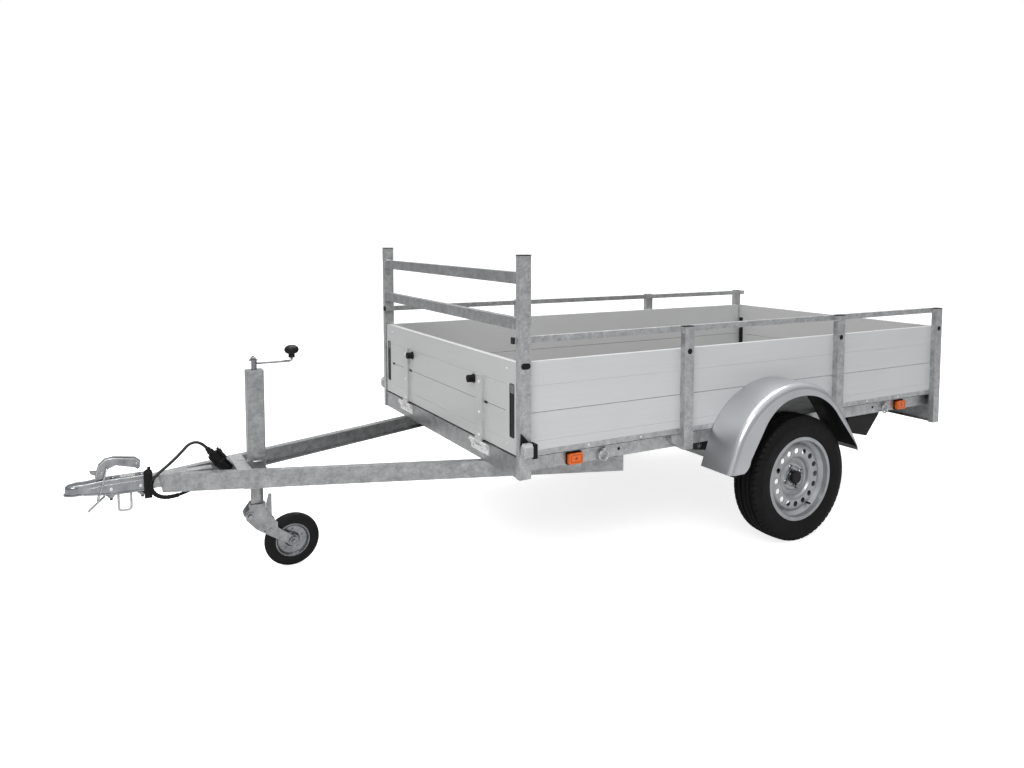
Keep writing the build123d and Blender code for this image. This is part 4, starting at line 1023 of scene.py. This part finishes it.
FRONT_LAMP_XS, FRONT_LAMP_Y, FRONT_LAMP_Z = (-0.5634, -0.5266), 0.834, 0.592  # front and rear face
front_rings = Form()
for side in SIDES:
    for x in FRONT_LAMP_XS:
        for wide, high in ((0.024, 0.040), (0.012, 0.024)):
            outline = rounded(wide, high, wide * 0.42)
            front_rings.add(hoop((x, side * FRONT_LAMP_Y, FRONT_LAMP_Z), AXIS_Y, outline, 0.0009))
piece("front_lamp_rings", front_rings, "bright_zinc")

TAIL_HOUSING_X, TAIL_FACE = 2.0345, 2.054
TAIL_Y, TAIL_Z = 0.650, 0.438
LENS_STEP, SEAM_STEP, SCREW_STEP = 0.072, 0.036, 0.104  # to either side of the lamp's middle
SEAM_ZS = (0.402, 0.474)


def tail_seat(x, y):
    return facing((x, y, TAIL_Z), AXIS_X)


tail_housings, tail_amber, tail_clear, tail_seams = Form(), Form(), Form(), Form()
for side in SIDES:
    tail_housings.add(plate(rounded(0.226, 0.086, 0.013), 0.0075, 0.0015),
                      tail_seat(TAIL_HOUSING_X, side * TAIL_Y))
    for form, step in ((tail_amber, LENS_STEP), (tail_clear, -LENS_STEP)):
        form.add(plate(rounded(0.064, 0.070, 0.006), 0.0024, 0.0010),
                 tail_seat(TAIL_FACE - 0.0006, side * (TAIL_Y + step)))
    for step in (SEAM_STEP, -SEAM_STEP):
        tail_seams.add(tube([(TAIL_FACE, side * (TAIL_Y + step), z) for z in SEAM_ZS], 0.0012))
    for step in (SCREW_STEP, -SCREW_STEP):
        tail_seams.add(dome(0.0035, 0.0016), tail_seat(TAIL_FACE - 0.0002, side * (TAIL_Y + step)))
piece("tail_lamp_housings", tail_housings, "black_plastic")
piece("tail_indicators", tail_amber, "amber")
piece("tail_clear_lenses", tail_clear, "clear_lens")
piece("tail_lamp_seams", tail_seams, "black_plastic")

# ------ drawbar, jack and jockey wheel
NUT_ACROSS = 0.019
jack_welds = Form()
for z, radius, size in ((0.4775, 0.0345, 0.0036), (0.3985, 0.0335, 0.0034)):
    jack_welds.add(weld_ring((JACK_X, 0, z), radius, size))
piece("jack_welds", jack_welds, "galvanised")

crank_nut = Form().add(bolt_head(NUT_ACROSS, 0.006), touch("jack_crank", (JACK_X - 0.003, 0, 1.0), DOWN))
piece("crank_nut", crank_nut, "zinc", body="jack_slider")

BRACKET_BOLTS = ((-1.408, 0.250), (JOCKEY.x, JOCKEY.z))
BRACKET_RIVET = (-1.352, 0.176)
bracket_bolts = Form()
for side in SIDES:
    for x, z in BRACKET_BOLTS:
        bracket_bolts.add(bolt_head(NUT_ACROSS, 0.004 if side > 0 else 0),
                          side_touch("jockey_bracket", side, x, z))
    bracket_bolts.add(dome(0.0055, 0.0030), side_touch("jockey_bracket", side, *BRACKET_RIVET))
piece("jockey_bracket_bolts", bracket_bolts, "zinc", body="jockey_swivel")

RIM_BOLT_R = 0.042
RIM_BOLTS = [(JOCKEY.x + RIM_BOLT_R * cos(angle), JOCKEY.z + RIM_BOLT_R * sin(angle))
             for angle in (2 * pi * k / 5 + 0.3 for k in range(5))]
studs("jockey_rim_bolts", "jockey_rim", bolt_head(0.009), RIM_BOLTS, "zinc", body="jockey_wheel")

# radius, height over the middle plane and size of each ring
RIM_RINGS = ((0.0672, 0.0180, 0.0020), (0.0585, 0.0100, 0.0022), (0.0300, 0.0066, 0.0018))
rim_rings = Form()
for side in SIDES:
    for radius, height, size in RIM_RINGS:
        rim_rings.add(ring(radius, size), facing(JOCKEY, (0, side, 0)) @ lift(height))
piece("jockey_rim_rings", rim_rings, "zinc", body="jockey_wheel")

# ------ coupling
HEAD_RIVETS = ((-1.901, 0.443), (-1.801, 0.443))
# The head's side rivets take the light cast_blocks finish: bright metal, and with it a painted glint on their
# domes
studs("coupling_rivets", "coupling_head", dome(0.0065, 0.0032), HEAD_RIVETS, "cast_blocks")

# Upright bolts: a domed head on top, and below a spacer and a nut that show under the lip
NUT_SEAT_Z = 0.412
SPACER_R = 0.0085
HEAD_STARTS = ((-1.893, 0.484), (-1.795, 0.9))  # x, and a height over the face that the head lies on
NUT_STARTS = (("coupling_head", -1.901, 0.012), ("nose_frame", -1.795, 0.0))
coupling_bolts = Form()
for x, z in HEAD_STARTS:
    coupling_bolts.add(dome(0.0105, 0.0050), touch("coupling_head", (x, 0, z), DOWN))
for node, x, y in NUT_STARTS:
    seat = touch(node, (x, y, 0.2), (0, 0, 1))
    drop = seat.translation.z - NUT_SEAT_Z
    coupling_bolts.add(turned(((0, -0.001), (SPACER_R, -0.001), (SPACER_R, drop), (0, drop)), 20), seat)
    coupling_bolts.add(bolt_head(NUT_ACROSS, 0.010), seat @ lift(drop))
piece("coupling_bolts", coupling_bolts, "zinc")

# Bright zinc tubes along both rims of the handle: partly its rolled rims, partly painted highlights along
# these edges. Domed pins sit on its sides.
HANDLE_LINE = ((-1.952, 0.486), (-1.946, 0.510), (-1.939, 0.535), (-1.918, 0.556), (-1.890, 0.5595),
               (-1.817, 0.5475), (-1.8010, 0.531), (-1.803, 0.512))
HANDLE_HIGHLIGHT_Y = 0.0150
HANDLE_PINS = ((-1.930, 0.505, 0.0065, 0.0030), (-1.812, 0.528, 0.0050, 0.0024))  # x, z, radius, height
handle_highlights_and_pins = Form()
for side in SIDES:
    handle_highlights_and_pins.add(tube([(x, side * HANDLE_HIGHLIGHT_Y, z - 0.0015) for x, z in HANDLE_LINE], 0.0022))
    for x, z, radius, high in HANDLE_PINS:
        handle_highlights_and_pins.add(dome(radius, high), side_touch("coupling_handle", side, x, z))
piece("handle_highlights_and_pins", handle_highlights_and_pins, "bright_zinc")

# Bright zinc tubes along the head's top edge and its pressed line: partly real beads, partly painted
# highlights on these edges
HEAD_EDGE = ((-1.779, 0.4805), (-1.930, 0.4785), (-1.985, 0.4725), (-2.020, 0.4725))
PRESSED_LINE = ((-1.785, 0.4640), (-1.925, 0.4620), (-1.975, 0.4560))
head_bead_highlights = Form()
for side in SIDES:
    head_bead_highlights.add(tube([(x, side * 0.0272, z) for x, z in HEAD_EDGE], 0.0026, 10))
    head_bead_highlights.add(tube([(x, side * 0.0284, z) for x, z in PRESSED_LINE], 0.0014))
piece("coupling_bead_highlights", head_bead_highlights, "bright_zinc")

label = Form().add(plate(rounded(0.030, 0.052, 0.004), 0.0016),
                   touch("coupling_head", (-1.845, 0, 0.49), DOWN))
piece("blank_label", label, "strap_metal")

# Soft hanger strap round the coupling's neck, with an eye at its top
HANGER_X, HANGER_LOW, HANGER_HALF = -1.7765, 0.391, 0.013
EYE_Z, EYE_R = 0.4905, 0.0155
hanger = Form()
arch = [(HANGER_X + EYE_R * cos(k * pi / 12), EYE_Z + EYE_R * sin(k * pi / 12)) for k in range(13)]
outline = [(HANGER_X - HANGER_HALF, HANGER_LOW), (HANGER_X + HANGER_HALF, HANGER_LOW)] + arch
# A plate's outline is laid in XY, so it is stood up in the XZ plane facing left
upright = move((0, -0.0335, 0)) @ Matrix.Rotation(pi / 2, 4, "X")
hanger.add(plate(outline, 0.0065, 0.0015), upright)
hanger.add(dome(0.0085, 0.0040), facing((HANGER_X, -0.0398, EYE_Z), (0, -1, 0)))
piece("hanger_strap", hanger, "rubber")

# ------ plug in its holder
plug_turn = facing(PLUG_TOP, PLUG_DIR)
SLEEVE_RIBS, SLEEVE_PITCH = 5, 0.0065
PLUG_RIBS, PLUG_RIB_R, PLUG_RIB_FOOT, PLUG_RIB_LONG = 16, 0.0212, 0.033, 0.036
PLUG_FOOT_PROFILE = ((0, 0.068), (0.0245, 0.068), (0.0258, 0.071), (0.0258, 0.076), (0.0243, 0.079),
                     (0, 0.079))
plug_grip = Form()
for k in range(SLEEVE_RIBS):
    at = k * SLEEVE_PITCH - 0.004
    radius = 0.0075 + 0.0011 * k
    plug_grip.add(turned(((0, at - 0.001), (radius, at), (radius + 0.0016, at + 0.0022),
                          (radius, at + 0.0044), (0, at + 0.0054))), plug_turn)
for k in range(PLUG_RIBS):
    rib = [plug_turn @ on_circle(PLUG_RIB_R, 2 * pi * k / PLUG_RIBS, height).translation
           for height in (PLUG_RIB_FOOT, PLUG_RIB_FOOT + PLUG_RIB_LONG)]
    plug_grip.add(tube(rib, 0.0016))
plug_grip.add(turned(PLUG_FOOT_PROFILE, 32), plug_turn)
plug_detail = piece("plug_grip", plug_grip, "black_plastic")

LID_MIDDLE = 0.050
PIN_STEP = 0.013
holder_pins = Form()
for step in (-PIN_STEP, PIN_STEP):
    start = PLUG_TOP + PLUG_DIR * LID_MIDDLE + Vector((0.05, step, 0.05))
    holder_pins.add(dome(0.0050, 0.0035), touch("plug_holder", start, (-sin(PLUG_TILT), 0, -cos(PLUG_TILT))))
piece("holder_pins", holder_pins, "black_plastic")

# Sleeve over the cable where it bends round the coupling's neck
SLEEVE_REAR_X, SLEEVE_TOP_Z, SLEEVE_R = -1.668, 0.462, 0.0082
line_only = cable_line.data.copy()
line_only.bevel_depth = 0
line_only.use_fill_caps = False
bare = new_object("cable_path", line_only)
flat = bpy.data.meshes.new_from_object(bare.evaluated_get(bpy.context.evaluated_depsgraph_get()))
bend = [vert.co.copy() for vert in flat.vertices if vert.co.x < SLEEVE_REAR_X and vert.co.z < SLEEVE_TOP_Z]
bpy.data.objects.remove(bare)
bpy.data.meshes.remove(flat)
sleeve_form = Form().add(tube(bend, lambda at: SLEEVE_R * (1.0 if at % 3 else 0.93), 16))
sleeve = piece("cable_sleeve", sleeve_form, "rubber")

# ------ axle and brackets
AXLE_BOLTS = [(x, 0.455) for x in (0.420, 0.600, 0.760, 0.860)]
studs("axle_bolts", "axle_brackets", bolt_head(0.015), AXLE_BOLTS, "zinc")
